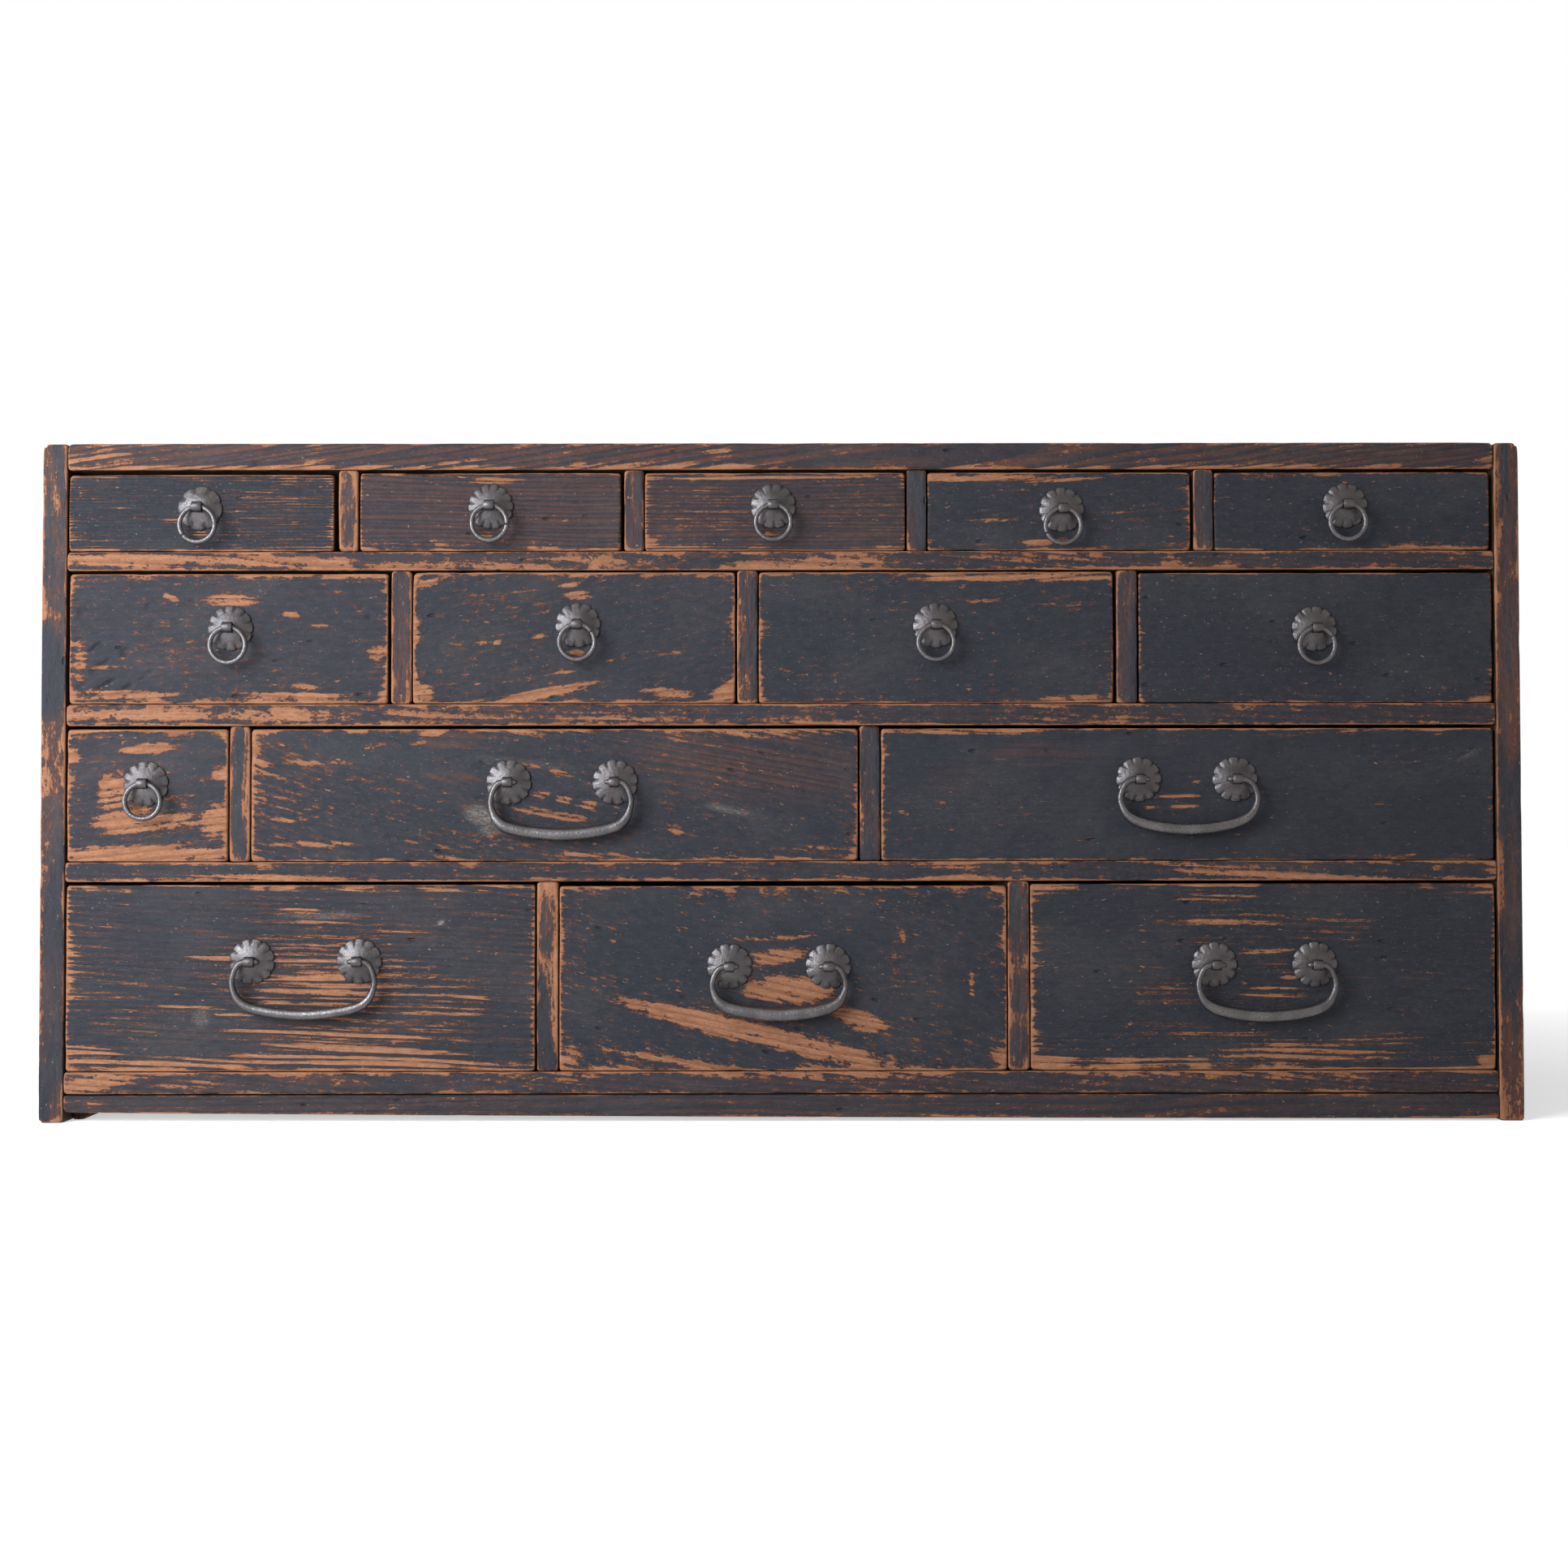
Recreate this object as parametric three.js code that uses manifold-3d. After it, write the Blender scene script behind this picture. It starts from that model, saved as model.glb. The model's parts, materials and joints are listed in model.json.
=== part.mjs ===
// A low drawer chest: a board carcass with fifteen drawers in four rows, and forged iron
// ring and bail pulls that hang from split pins through chrysanthemum plates.
// Millimetres, +Z up, front towards -Y, origin on the floor under the middle of the chest.
import * as THREE from 'three';
import { mergeVertices } from 'three/addons/utils/BufferGeometryUtils.js';
import Module from 'manifold-3d';

const wasm = await Module();
wasm.setup();

// Carcass boards
const chestWidth = 909;
const chestDepth = 303;
const chestHeight = 417;
const sideThickness = 15;
const topThickness = 16.3;
const shelfThickness = 13.3;
const dividerThickness = 13;
const backThickness = 6;
const baseHeight = 17.6;
const topCornerRadius = 4;
const housingDepth = 4;
const housingStop = 12;
const topTongue = 6;
const backLap = 7;

// Front apron under the bottom board, worn lower towards the right
const apronThickness = 14;
const apronSeam = 0.9;
const apronRiseLeft = 6.4;
const apronRiseMiddle = 2.6;
const apronRiseRight = 1.5;
const apronMiddleShare = 0.42;
const apronEndRadius = 3;

// Block in the left-hand corner behind the apron
const blockLength = 70;
const blockWidth = 15;
const blockFoot = 4;
const blockRise = 8;

// Clearances
const jointClearance = 0.3;
const seatClearance = 0.3;
const runClearance = 0.4;
const rearClearance = 6;
const cutOverrun = 1;
const weldTolerance = 0.0001;
const drawerGap = 3;
const gapShares = { close: 0.24, easy: 0.4, loose: 0.67, worn: 1 };

// Drawer boards
const drawerRecess = 0.5;
const frontThickness = 14;
const frontArris = 1.2;
const wallThickness = 7;
const wallInset = 0.6;
const wallDrop = 1.5;
const backDrop = 5;
const floorThickness = 5;

// Chrysanthemum plate, a hollow scalloped dome
const plateRadius = 13.9;
const plateRise = 4.4;
const plateWall = 1;
const plateNotch = 1;
const plateGroove = 0.6;
const petalShoulderShare = 0.3;
const plateMidShare = 0.66;
const plateMidRiseShare = 0.74;
const plateCrownShare = 0.24;

// Split pin: a strap bent into an eye, with two legs through the drawer front
const strapWidth = 6.4;
const strapThickness = 1.1;
const eyeBoreRadius = 2.2;
const eyeStandoff = 7;
const clenchLength = 9;
const splitShare = 0.6;

// Ring pull, a bent wire with a butt joint
const ringRadius = 11;
const ringWireRadius = 1.35;
const ringButtGap = 0.5;
const ringButtDegrees = 218;

// Bail pull, thin at its ends and swelling to the middle of the grip
const bailPosts = 65.5;
const bailDrop = 35.9;
const bailOverhang = 13.8;
const bailTip = 2.6;
const bailEndRadius = 1.65;
const bailGripRadius = 4.15;
const bailSwellShare = 0.4;
const bailArmShares = [
  { out: 0.74, down: 0.09 },
  { out: 1, down: 0.34 },
  { out: 0.97, down: 0.56 },
  { out: 0.6, down: 0.77 },
];
const bailGripShares = [
  { across: 0.8, down: 0.9 },
  { across: 0.4, down: 0.97 },
  { across: 0, down: 1 },
];

// Counts
const petalCount = 12;
const largePetalCount = 8;
const ringSteps = 20;
const ringSides = 6;
const bailSteps = 22;
const bailSides = 8;
const boreSides = 12;
const cornerSides = 4;

// Each bail was bent by hand, so the distance between its posts, its overhang, its drop and its
// grip differ, as shares of the largest
const bailShares = {
  '3_2': { postsShare: 0.994, overhangShare: 0.85, dropShare: 1, gripShare: 0.94 },
  '3_3': { postsShare: 0.901, overhangShare: 1, dropShare: 0.955, gripShare: 0.86 },
  '4_1': { postsShare: 1, overhangShare: 0.88, dropShare: 0.983, gripShare: 0.76 },
  '4_2': { postsShare: 0.922, overhangShare: 0.86, dropShare: 0.925, gripShare: 1 },
  '4_3': { postsShare: 0.939, overhangShare: 0.9, dropShare: 0.972, gripShare: 0.89 },
};

// Rows from the top down. Shares are of the height left clear for drawers, of the thickest shelf
// and divider and, for a divider's middle, of the width between the sides. Each drawer has its
// gaps in the opening and the place of its pull, as shares of its front from the lower left.
const rows = [
  {
    board: 'shelf_upper',
    openingShare: 0.152,
    boardShare: 0.872,
    dividerShare: 0.923,
    dividerShares: [0.197, 0.397, 0.595, 0.796],
    drawers: [
      {
        left: 'easy', right: 'worn', top: 'worn', pullShares: [0.4963, 0.559],
        petals: largePetalCount,
      },
      { left: 'easy', right: 'loose', top: 'loose', pullShares: [0.5006, 0.564] },
      { left: 'close', right: 'easy', top: 'loose', pullShares: [0.4931, 0.568] },
      { left: 'close', right: 'loose', top: 'loose', pullShares: [0.5093, 0.517] },
      { left: 'close', right: 'worn', top: 'loose', pullShares: [0.4741, 0.568] },
    ],
  },
  {
    board: 'shelf_middle',
    openingShare: 0.2476,
    boardShare: 1,
    dividerShare: 0.969,
    dividerShares: [0.2344, 0.4763, 0.7418],
    drawers: [
      { left: 'loose', right: 'loose', top: 'loose', pullShares: [0.5061, 0.58] },
      { left: 'close', right: 'easy', top: 'easy', pullShares: [0.5121, 0.595] },
      { left: 'close', right: 'loose', top: 'easy', pullShares: [0.4977, 0.59] },
      { left: 'easy', right: 'loose', top: 'loose', pullShares: [0.4954, 0.568] },
    ],
  },
  {
    board: 'shelf_lower',
    openingShare: 0.2509,
    boardShare: 0.91,
    dividerShare: 0.954,
    dividerShares: [0.122, 0.5618],
    drawers: [
      { left: 'easy', right: 'easy', top: 'loose', pullShares: [0.4919, 0.588] },
      { left: 'close', right: 'easy', top: 'loose', pullShares: [0.5121, 0.595] },
      { left: 'close', right: 'loose', top: 'loose', pullShares: [0.4984, 0.612] },
    ],
  },
  {
    board: 'bottom_board',
    openingShare: 0.3495,
    boardShare: 1,
    dividerShare: 1,
    dividerShares: [0.3369, 0.6652],
    drawers: [
      { left: 'easy', right: 'easy', top: 'loose', pullShares: [0.5115, 0.591] },
      { left: 'close', right: 'close', top: 'worn', pullShares: [0.4902, 0.566] },
      { left: 'close', right: 'loose', top: 'loose', pullShares: [0.5025, 0.567] },
    ],
  },
];

// Sizes that follow
const innerWidth = chestWidth - 2 * sideThickness;
const topUnderside = chestHeight - topThickness;
const boardsHeight = rows.reduce((sum, row) => sum + shelfThickness * row.boardShare, 0);
const clearHeight = topUnderside - baseHeight - boardsHeight;
const boardRear = chestDepth - backThickness - jointClearance;
const drawerLength = chestDepth - backThickness - drawerRecess - rearClearance;
const handleReach = eyeStandoff + bailGripRadius - drawerRecess;
const frontPlane = (handleReach - chestDepth) / 2;
const eyeOuterRadius = eyeBoreRadius + strapThickness;
const deg = THREE.MathUtils.degToRad(1);

// Finishes
const paint = new THREE.MeshStandardMaterial({ color: 0x3b3c42, roughness: 0.5, metalness: 0 });
const frame = new THREE.MeshStandardMaterial({ color: 0x4a4040, roughness: 0.55, metalness: 0 });
const bare = new THREE.MeshStandardMaterial({ color: 0x8a6a4c, roughness: 0.8, metalness: 0 });
const iron = new THREE.MeshStandardMaterial({ color: 0x6b625e, roughness: 0.45, metalness: 0.8 });

// A closed mesh becomes a solid that can be joined and cut
function toSolid(geometry) {
  const plain = geometry.clone();
  plain.deleteAttribute('normal');
  plain.deleteAttribute('uv');
  const merged = mergeVertices(plain, weldTolerance);
  const vertProperties = merged.attributes.position.array;
  const triVerts = merged.index.array;
  return new wasm.Manifold(new wasm.Mesh({ numProp: 3, vertProperties, triVerts }));
}

function toGeometry(solid) {
  const mesh = solid.getMesh();
  const geometry = new THREE.BufferGeometry();
  geometry.setAttribute('position', new THREE.BufferAttribute(mesh.vertProperties, 3));
  geometry.setIndex(new THREE.BufferAttribute(mesh.triVerts, 1));
  return geometry;
}

function piece(name, geometry, material) {
  const shown = geometry.toNonIndexed();
  shown.computeVertexNormals();
  const mesh = new THREE.Mesh(shown, material);
  mesh.name = name;
  return mesh;
}

function block(x0, x1, y0, y1, z0, z1) {
  const geometry = new THREE.BoxGeometry(x1 - x0, y1 - y0, z1 - z0);
  geometry.translate((x0 + x1) / 2, (y0 + y1) / 2, (z0 + z1) / 2);
  return toSolid(geometry);
}

// An outline in the front view, carried back from y0 to y1
function extrudeBack(shape, y0, y1) {
  const options = { depth: y1 - y0, bevelEnabled: false, curveSegments: cornerSides };
  const geometry = new THREE.ExtrudeGeometry(shape, options);
  geometry.rotateX(90 * deg);
  geometry.translate(0, y1, 0);
  return toSolid(geometry);
}

// Joins two closed loops of any number of points with a band of triangles
function zip(faces, a, b, countA, countB) {
  let i = 0;
  let j = 0;
  while (i < countA || j < countB) {
    const from = a + (i % countA);
    const to = b + (j % countB);
    if ((i + 1) * countB <= (j + 1) * countA) {
      faces.push(from, a + ((i + 1) % countA), to);
      i += 1;
    } else {
      faces.push(from, b + ((j + 1) % countB), to);
      j += 1;
    }
  }
}

// A closed skin over a row of loops, with a flat face at each end
function skin(loops) {
  const points = loops.flat();
  const faces = [];
  const starts = [];
  let start = 0;
  for (const loop of loops) {
    starts.push(start);
    start += loop.length;
  }
  for (let k = 1; k < loops.length; k += 1) {
    zip(faces, starts[k - 1], starts[k], loops[k - 1].length, loops[k].length);
  }
  const last = starts.at(-1);
  for (let k = 2; k < loops[0].length; k += 1) faces.push(0, k, k - 1);
  for (let k = 2; k < loops.at(-1).length; k += 1) faces.push(last, last + k - 1, last + k);
  const geometry = new THREE.BufferGeometry().setFromPoints(points);
  geometry.setIndex(volumeOf(points, faces) < 0 ? faces.reverse() : faces);
  return geometry;
}

function volumeOf(points, faces) {
  let sum = 0;
  for (let k = 0; k < faces.length; k += 3) {
    const [a, b, c] = faces.slice(k, k + 3).map((index) => points[index]);
    sum += a.dot(b.clone().cross(c));
  }
  return sum / 6;
}

// A round bar along a path in the front view, with a radius for each point of the path
function bar(path, radii, sides) {
  const loops = path.map((point, k) => {
    const before = path[Math.max(k - 1, 0)];
    const after = path[Math.min(k + 1, path.length - 1)];
    const along = after.clone().sub(before).normalize();
    return Array.from({ length: sides }, (_, s) => {
      const angle = (2 * Math.PI * s) / sides;
      const side = radii[k] * Math.cos(angle);
      const forward = radii[k] * Math.sin(angle);
      return new THREE.Vector3(point.x - side * along.y, forward, point.y + side * along.x);
    });
  });
  return skin(loops);
}

// Carcass

function rowHeight(row) {
  return clearHeight * row.openingShare;
}

function boardHeight(row) {
  return shelfThickness * row.boardShare;
}

function dividerHalf(row) {
  return (dividerThickness * row.dividerShare) / 2;
}

// Undersides of the boards, from the top row down
function boardLevels() {
  let level = topUnderside;
  return rows.map((row) => {
    level -= rowHeight(row) + boardHeight(row);
    return level;
  });
}

const levels = boardLevels();

function sideBoard(hand) {
  const outer = (hand * chestWidth) / 2;
  const inner = outer - hand * sideThickness;
  const outline = new THREE.Shape();
  outline.moveTo(inner, 0);
  outline.lineTo(outer, 0);
  outline.lineTo(outer, chestHeight - topCornerRadius);
  outline.quadraticCurveTo(outer, chestHeight, outer - hand * topCornerRadius, chestHeight);
  outline.lineTo(inner, chestHeight);
  let board = extrudeBack(outline, 0, chestDepth);
  const cut = (depth, y0, y1, z0, z1) => {
    const edges = [inner - hand * cutOverrun, inner + hand * depth].sort((a, b) => a - b);
    board = board.subtract(block(edges[0], edges[1], y0, y1, z0, z1));
  };
  const front = housingStop - jointClearance;
  const rear = boardRear + jointClearance;
  const depth = housingDepth + jointClearance;
  rows.forEach((row, k) => {
    const low = levels[k] - jointClearance;
    cut(depth, front, rear, low, levels[k] + boardHeight(row) + jointClearance);
  });
  cut(depth, front, rear, topUnderside - jointClearance, topUnderside + topTongue + jointClearance);
  const backLow = levels.at(-1) - jointClearance;
  cut(backLap + jointClearance, boardRear, chestDepth + cutOverrun, backLow, topUnderside);
  return board;
}

// A board between the sides, with a tongue at each end that stops short of the front
function housedPlan() {
  const edge = innerWidth / 2 - jointClearance;
  const tongue = innerWidth / 2 + housingDepth;
  const plan = new THREE.Shape();
  plan.moveTo(-edge, 0);
  plan.lineTo(edge, 0);
  plan.lineTo(edge, housingStop);
  plan.lineTo(tongue, housingStop);
  plan.lineTo(tongue, boardRear);
  plan.lineTo(-tongue, boardRear);
  plan.lineTo(-tongue, housingStop);
  plan.lineTo(-edge, housingStop);
  return plan;
}

function housedBoard(level, thickness) {
  const options = { depth: thickness, bevelEnabled: false };
  const geometry = new THREE.ExtrudeGeometry(housedPlan(), options);
  geometry.translate(0, 0, level);
  return toSolid(geometry);
}

function dividerMiddle(share) {
  return (share - 0.5) * innerWidth;
}

// A shelf with the dividers that stand in it
function shelf(row, level) {
  let board = housedBoard(level, boardHeight(row));
  const low = level + boardHeight(row) - housingDepth;
  const high = level + boardHeight(row) + rowHeight(row) - jointClearance;
  const half = dividerHalf(row);
  for (const share of row.dividerShares) {
    const middle = dividerMiddle(share);
    board = board.add(block(middle - half, middle + half, 0, boardRear, low, high));
  }
  return board;
}

function topBoard() {
  const edge = innerWidth / 2 - jointClearance;
  const board = block(-edge, edge, 0, chestDepth, topUnderside, chestHeight);
  return board.add(housedBoard(topUnderside, topTongue));
}

function backBoard() {
  const edge = innerWidth / 2 + backLap;
  return block(-edge, edge, boardRear + jointClearance, chestDepth, levels.at(-1),
    topUnderside - jointClearance);
}

function apron() {
  const edge = innerWidth / 2 - jointClearance;
  const high = levels.at(-1) - apronSeam;
  const outline = new THREE.Shape();
  outline.moveTo(edge, apronRiseRight);
  outline.lineTo(edge, high);
  outline.lineTo(-edge, high);
  outline.lineTo(-edge, apronRiseLeft + apronEndRadius);
  outline.quadraticCurveTo(-edge, apronRiseLeft, apronEndRadius - edge, apronRiseLeft);
  outline.quadraticCurveTo(dividerMiddle(apronMiddleShare), apronRiseMiddle, edge, apronRiseRight);
  return extrudeBack(outline, 0, apronThickness);
}

function cornerBlock() {
  const wall = jointClearance - innerWidth / 2;
  const high = levels.at(-1) - jointClearance;
  const outline = new THREE.Shape();
  outline.moveTo(wall, 0);
  outline.lineTo(wall + blockFoot, 0);
  outline.quadraticCurveTo(wall + blockWidth / 2, 0, wall + blockWidth, blockRise);
  outline.lineTo(wall + blockWidth, high);
  outline.lineTo(wall, high);
  const near = apronThickness + jointClearance;
  return extrudeBack(outline, near, near + blockLength);
}

function carcass() {
  const group = new THREE.Group();
  const add = (name, solid, material) => group.add(piece(name, toGeometry(solid), material));
  add('side_left', sideBoard(-1), frame);
  add('side_right', sideBoard(1), frame);
  add('top_board', topBoard(), frame);
  rows.forEach((row, k) => add(row.board, shelf(row, levels[k]), frame));
  add('back_board', backBoard(), bare);
  add('apron', apron(), frame);
  add('corner_block', cornerBlock(), frame);
  return group;
}

// Drawers

function rectangle(halfWidth, y, z0, z1, inset) {
  const edge = halfWidth - inset;
  const low = z0 + inset;
  const high = z1 - inset;
  return [
    new THREE.Vector3(-edge, y, low),
    new THREE.Vector3(edge, y, low),
    new THREE.Vector3(edge, y, high),
    new THREE.Vector3(-edge, y, high),
  ];
}

// A tray whose front is wider and higher than its walls, in the drawer's own frame:
// x from the middle, y from the face, z from the underside
function drawerTray(width, height, pins) {
  const half = width / 2;
  const face = skin([
    rectangle(half, 0, 0, height, frontArris),
    rectangle(half, frontArris, 0, height, 0),
    rectangle(half, frontThickness, 0, height, 0),
  ]);
  const wall = half - wallInset;
  const rim = height - wallDrop;
  const inside = wall - wallThickness;
  const backFace = drawerLength - wallThickness;
  const above = height + cutOverrun;
  let tray = toSolid(face);
  tray = tray.add(block(-wall, wall, frontThickness / 2, drawerLength, 0, rim));
  tray = tray.subtract(block(-inside, inside, frontThickness, backFace, floorThickness, above));
  const rear = drawerLength + cutOverrun;
  tray = tray.subtract(block(-inside, inside, backFace - cutOverrun, rear, rim - backDrop, above));
  const mortiseWidth = strapWidth / 2 + seatClearance;
  const mortiseHeight = strapThickness + seatClearance;
  for (const pin of pins) {
    tray = tray.subtract(block(pin.x - mortiseWidth, pin.x + mortiseWidth, -cutOverrun,
      frontThickness + cutOverrun, pin.z - mortiseHeight, pin.z + mortiseHeight));
  }
  return tray;
}

// Fittings, in a frame with its origin on the drawer's face at the plate's middle

function circle(count, radius, forward) {
  return Array.from({ length: count }, (_, k) => {
    const angle = (2 * Math.PI * k) / count;
    return new THREE.Vector3(radius * Math.cos(angle), -forward(k), radius * Math.sin(angle));
  });
}

// One petal of the rim starts at a notch and has two shoulders
function petalRim(petals, radius, forward) {
  const rim = [];
  for (let petal = 0; petal < petals; petal += 1) {
    const notch = { at: petal, out: radius - plateNotch };
    const first = { at: petal + petalShoulderShare, out: radius };
    const second = { at: petal + 1 - petalShoulderShare, out: radius };
    for (const { at, out } of [notch, first, second]) {
      const angle = (2 * Math.PI * at) / petals;
      rim.push(new THREE.Vector3(out * Math.cos(angle), -forward, out * Math.sin(angle)));
    }
  }
  return rim;
}

function plate(petals) {
  const crownRadius = plateRadius * plateCrownShare;
  const midRadius = plateRadius * plateMidShare;
  const midRise = plateRise * plateMidRiseShare;
  const half = petals / 2;
  return skin([
    circle(half, crownRadius, () => plateRise - plateWall),
    circle(petals, midRadius, () => midRise - plateGroove - plateWall),
    petalRim(petals, plateRadius - plateWall, seatClearance),
    petalRim(petals, plateRadius, seatClearance + plateWall),
    circle(2 * petals, midRadius, (k) => (k % 2 ? midRise : midRise - plateGroove)),
    circle(half, crownRadius, () => plateRise),
  ]);
}

// The strap's side view: x is the depth behind the drawer's face, y is the height
function strapOutline() {
  const neck = Math.asin(strapThickness / eyeOuterRadius);
  const inner = frontThickness + seatClearance;
  const outer = inner + strapThickness;
  const tip = strapThickness + clenchLength;
  const split = strapThickness * splitShare;
  const outline = new THREE.Shape();
  outline.absarc(-eyeStandoff, 0, eyeOuterRadius, neck, -neck, false);
  outline.lineTo(inner, -strapThickness);
  outline.lineTo(inner, -tip);
  outline.lineTo(outer, -tip);
  outline.lineTo(outer, -split);
  outline.lineTo(inner, 0);
  outline.lineTo(outer, split);
  outline.lineTo(outer, tip);
  outline.lineTo(inner, tip);
  outline.lineTo(inner, strapThickness);
  const bore = new THREE.Path();
  bore.absarc(-eyeStandoff, 0, eyeBoreRadius, 0, 2 * Math.PI, false);
  outline.holes.push(bore);
  return outline;
}

function splitPin() {
  const options = { depth: strapWidth, bevelEnabled: false, curveSegments: boreSides / 2 };
  const geometry = new THREE.ExtrudeGeometry(strapOutline(), options);
  const turn = new THREE.Matrix4().makeBasis(
    new THREE.Vector3(0, 1, 0),
    new THREE.Vector3(0, 0, 1),
    new THREE.Vector3(1, 0, 0),
  );
  geometry.applyMatrix4(turn);
  geometry.translate(-strapWidth / 2, 0, 0);
  return geometry;
}

// A plate with its split pin, driven through and clenched behind the front
function fitting(petals) {
  return toGeometry(toSolid(plate(petals)).add(toSolid(splitPin())));
}

function ringWire() {
  const gap = ringButtGap / ringRadius;
  const start = ringButtDegrees * deg + gap / 2;
  const path = [];
  for (let k = 0; k <= ringSteps; k += 1) {
    const angle = start + ((2 * Math.PI - gap) * k) / ringSteps;
    path.push(new THREE.Vector2(ringRadius * Math.cos(angle), ringRadius * (Math.sin(angle) - 1)));
  }
  return bar(path, path.map(() => ringWireRadius), ringSides);
}

// The bail hangs from its two ends, which turn inwards through the eyes
function bailBar(shares) {
  const post = (bailPosts * shares.postsShare) / 2;
  const grip = bailGripRadius * shares.gripShare;
  const reach = bailOverhang * shares.overhangShare - bailEndRadius;
  const drop = bailDrop * shares.dropShare - grip;
  const tip = post - strapWidth / 2 - bailTip;
  const right = [
    new THREE.Vector2(post + strapWidth / 2, 0),
    ...bailArmShares.map(({ out, down }) => new THREE.Vector2(post + reach * out, -drop * down)),
    ...bailGripShares.map(({ across, down }) => new THREE.Vector2(post * across, -drop * down)),
  ];
  const left = right.slice(0, -1).reverse().map((point) => new THREE.Vector2(-point.x, point.y));
  const curve = new THREE.SplineCurve([...right, ...left]).getSpacedPoints(bailSteps);
  const path = [new THREE.Vector2(tip, 0), ...curve, new THREE.Vector2(-tip, 0)];
  const radii = path.map((point) => {
    const low = THREE.MathUtils.smoothstep(-point.y / drop, bailSwellShare, 1);
    return THREE.MathUtils.lerp(bailEndRadius, grip, low);
  });
  return bar(path, radii, bailSides);
}

// One drawer of a row with its fittings, named by row and place from the left
function drawer(tag, spec, opening) {
  const gap = (side) => drawerGap * gapShares[spec[side]];
  const width = opening.right - opening.left - gap('left') - gap('right');
  const height = opening.height - runClearance - gap('top');
  const middle = opening.left + gap('left') + width / 2;
  const bail = bailShares[tag];
  const post = bail ? (bailPosts * bail.postsShare) / 2 : 0;
  const ends = bail ? { _left: -post, _right: post } : { '': 0 };
  const [acrossShare, upShare] = spec.pullShares;
  const across = width * (acrossShare - 0.5);
  const up = height * upShare;
  const pins = Object.values(ends).map((x) => ({ x: across + x, z: up }));
  const group = new THREE.Group();
  group.position.set(middle, drawerRecess, opening.floor + runClearance);
  group.add(piece(`drawer_${tag}`, toGeometry(drawerTray(width, height, pins)), paint));
  Object.keys(ends).forEach((end, k) => {
    const mesh = piece(`plate_${tag}${end}`, fitting(spec.petals ?? petalCount), iron);
    mesh.position.set(pins[k].x, 0, up);
    group.add(mesh);
  });
  const handle = bail
    ? piece(`bail_${tag}`, bailBar(bail), iron)
    : piece(`ring_${tag}`, ringWire(), iron);
  handle.position.set(across, -eyeStandoff, up);
  group.add(handle);
  return group;
}

function drawersOf(row, rowIndex) {
  const group = new THREE.Group();
  const half = dividerHalf(row);
  const middles = row.dividerShares.map(dividerMiddle);
  const floor = levels[rowIndex] + boardHeight(row);
  row.drawers.forEach((spec, k) => {
    const left = k === 0 ? -innerWidth / 2 : middles[k - 1] + half;
    const right = k === middles.length ? innerWidth / 2 : middles[k] - half;
    const tag = `${rowIndex + 1}_${k + 1}`;
    group.add(drawer(tag, spec, { left, right, floor, height: rowHeight(row) }));
  });
  return group;
}

const chest = new THREE.Group();
chest.position.y = frontPlane;
chest.add(carcass());
rows.forEach((row, k) => chest.add(drawersOf(row, k)));

export default chest;
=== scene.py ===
"""The looks of a low drawer chest: worn painted boards, wooden drawers and forged iron pulls."""
import itertools
import json
import math

import bpy
import numpy as np
from bpy.props import FloatProperty, FloatVectorProperty, IntProperty, PointerProperty
from mathutils import Matrix, Vector


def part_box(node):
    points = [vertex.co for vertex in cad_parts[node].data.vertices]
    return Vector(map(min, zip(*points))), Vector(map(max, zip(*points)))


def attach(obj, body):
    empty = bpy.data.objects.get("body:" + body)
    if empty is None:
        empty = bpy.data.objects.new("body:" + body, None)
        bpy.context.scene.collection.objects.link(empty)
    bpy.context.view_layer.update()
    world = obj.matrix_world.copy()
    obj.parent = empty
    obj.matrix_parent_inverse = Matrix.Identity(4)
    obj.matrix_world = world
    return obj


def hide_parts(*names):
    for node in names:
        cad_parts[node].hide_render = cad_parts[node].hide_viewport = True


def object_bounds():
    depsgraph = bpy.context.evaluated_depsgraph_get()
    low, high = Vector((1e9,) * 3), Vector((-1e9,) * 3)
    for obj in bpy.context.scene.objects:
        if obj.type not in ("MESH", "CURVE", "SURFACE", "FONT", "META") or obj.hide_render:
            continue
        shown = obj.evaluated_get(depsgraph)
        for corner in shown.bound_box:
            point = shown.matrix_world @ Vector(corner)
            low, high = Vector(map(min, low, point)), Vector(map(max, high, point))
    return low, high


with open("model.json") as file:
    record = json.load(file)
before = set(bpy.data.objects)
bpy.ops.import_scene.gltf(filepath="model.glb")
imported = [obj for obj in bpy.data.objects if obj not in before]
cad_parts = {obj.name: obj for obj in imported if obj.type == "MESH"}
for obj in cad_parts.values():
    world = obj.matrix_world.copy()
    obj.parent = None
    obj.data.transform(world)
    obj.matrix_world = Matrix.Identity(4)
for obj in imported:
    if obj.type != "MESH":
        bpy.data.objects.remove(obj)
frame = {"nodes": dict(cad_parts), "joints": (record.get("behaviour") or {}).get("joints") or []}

bl_info = {
    "name": "Drawer Chest",
    "version": (1, 0, 0),
    "blender": (4, 5, 0),
    "location": "View3D > Sidebar > Chest",
    "description": "Dresses a low drawer chest in worn paint, wood and forged iron",
    "category": "Object",
}

CAD_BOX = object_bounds()
MM = 0.001
TINY = 1e-9
FULL_TURN = 2 * math.pi
X, Y, Z = range(3)
FACES = (("left", "right"), ("front", "back"), ("bottom", "top"))

# Drawers in each row, from the top, and the boards under the rows
ROWS = {1: 5, 2: 4, 3: 3, 4: 3}
SHELVES = ("shelf_upper", "shelf_middle", "shelf_lower", "bottom_board")

# Side and middle of the photograph, in pixels
PHOTO_SIDE = 1932
PHOTO_MIDDLE = PHOTO_SIDE / 2

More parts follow.
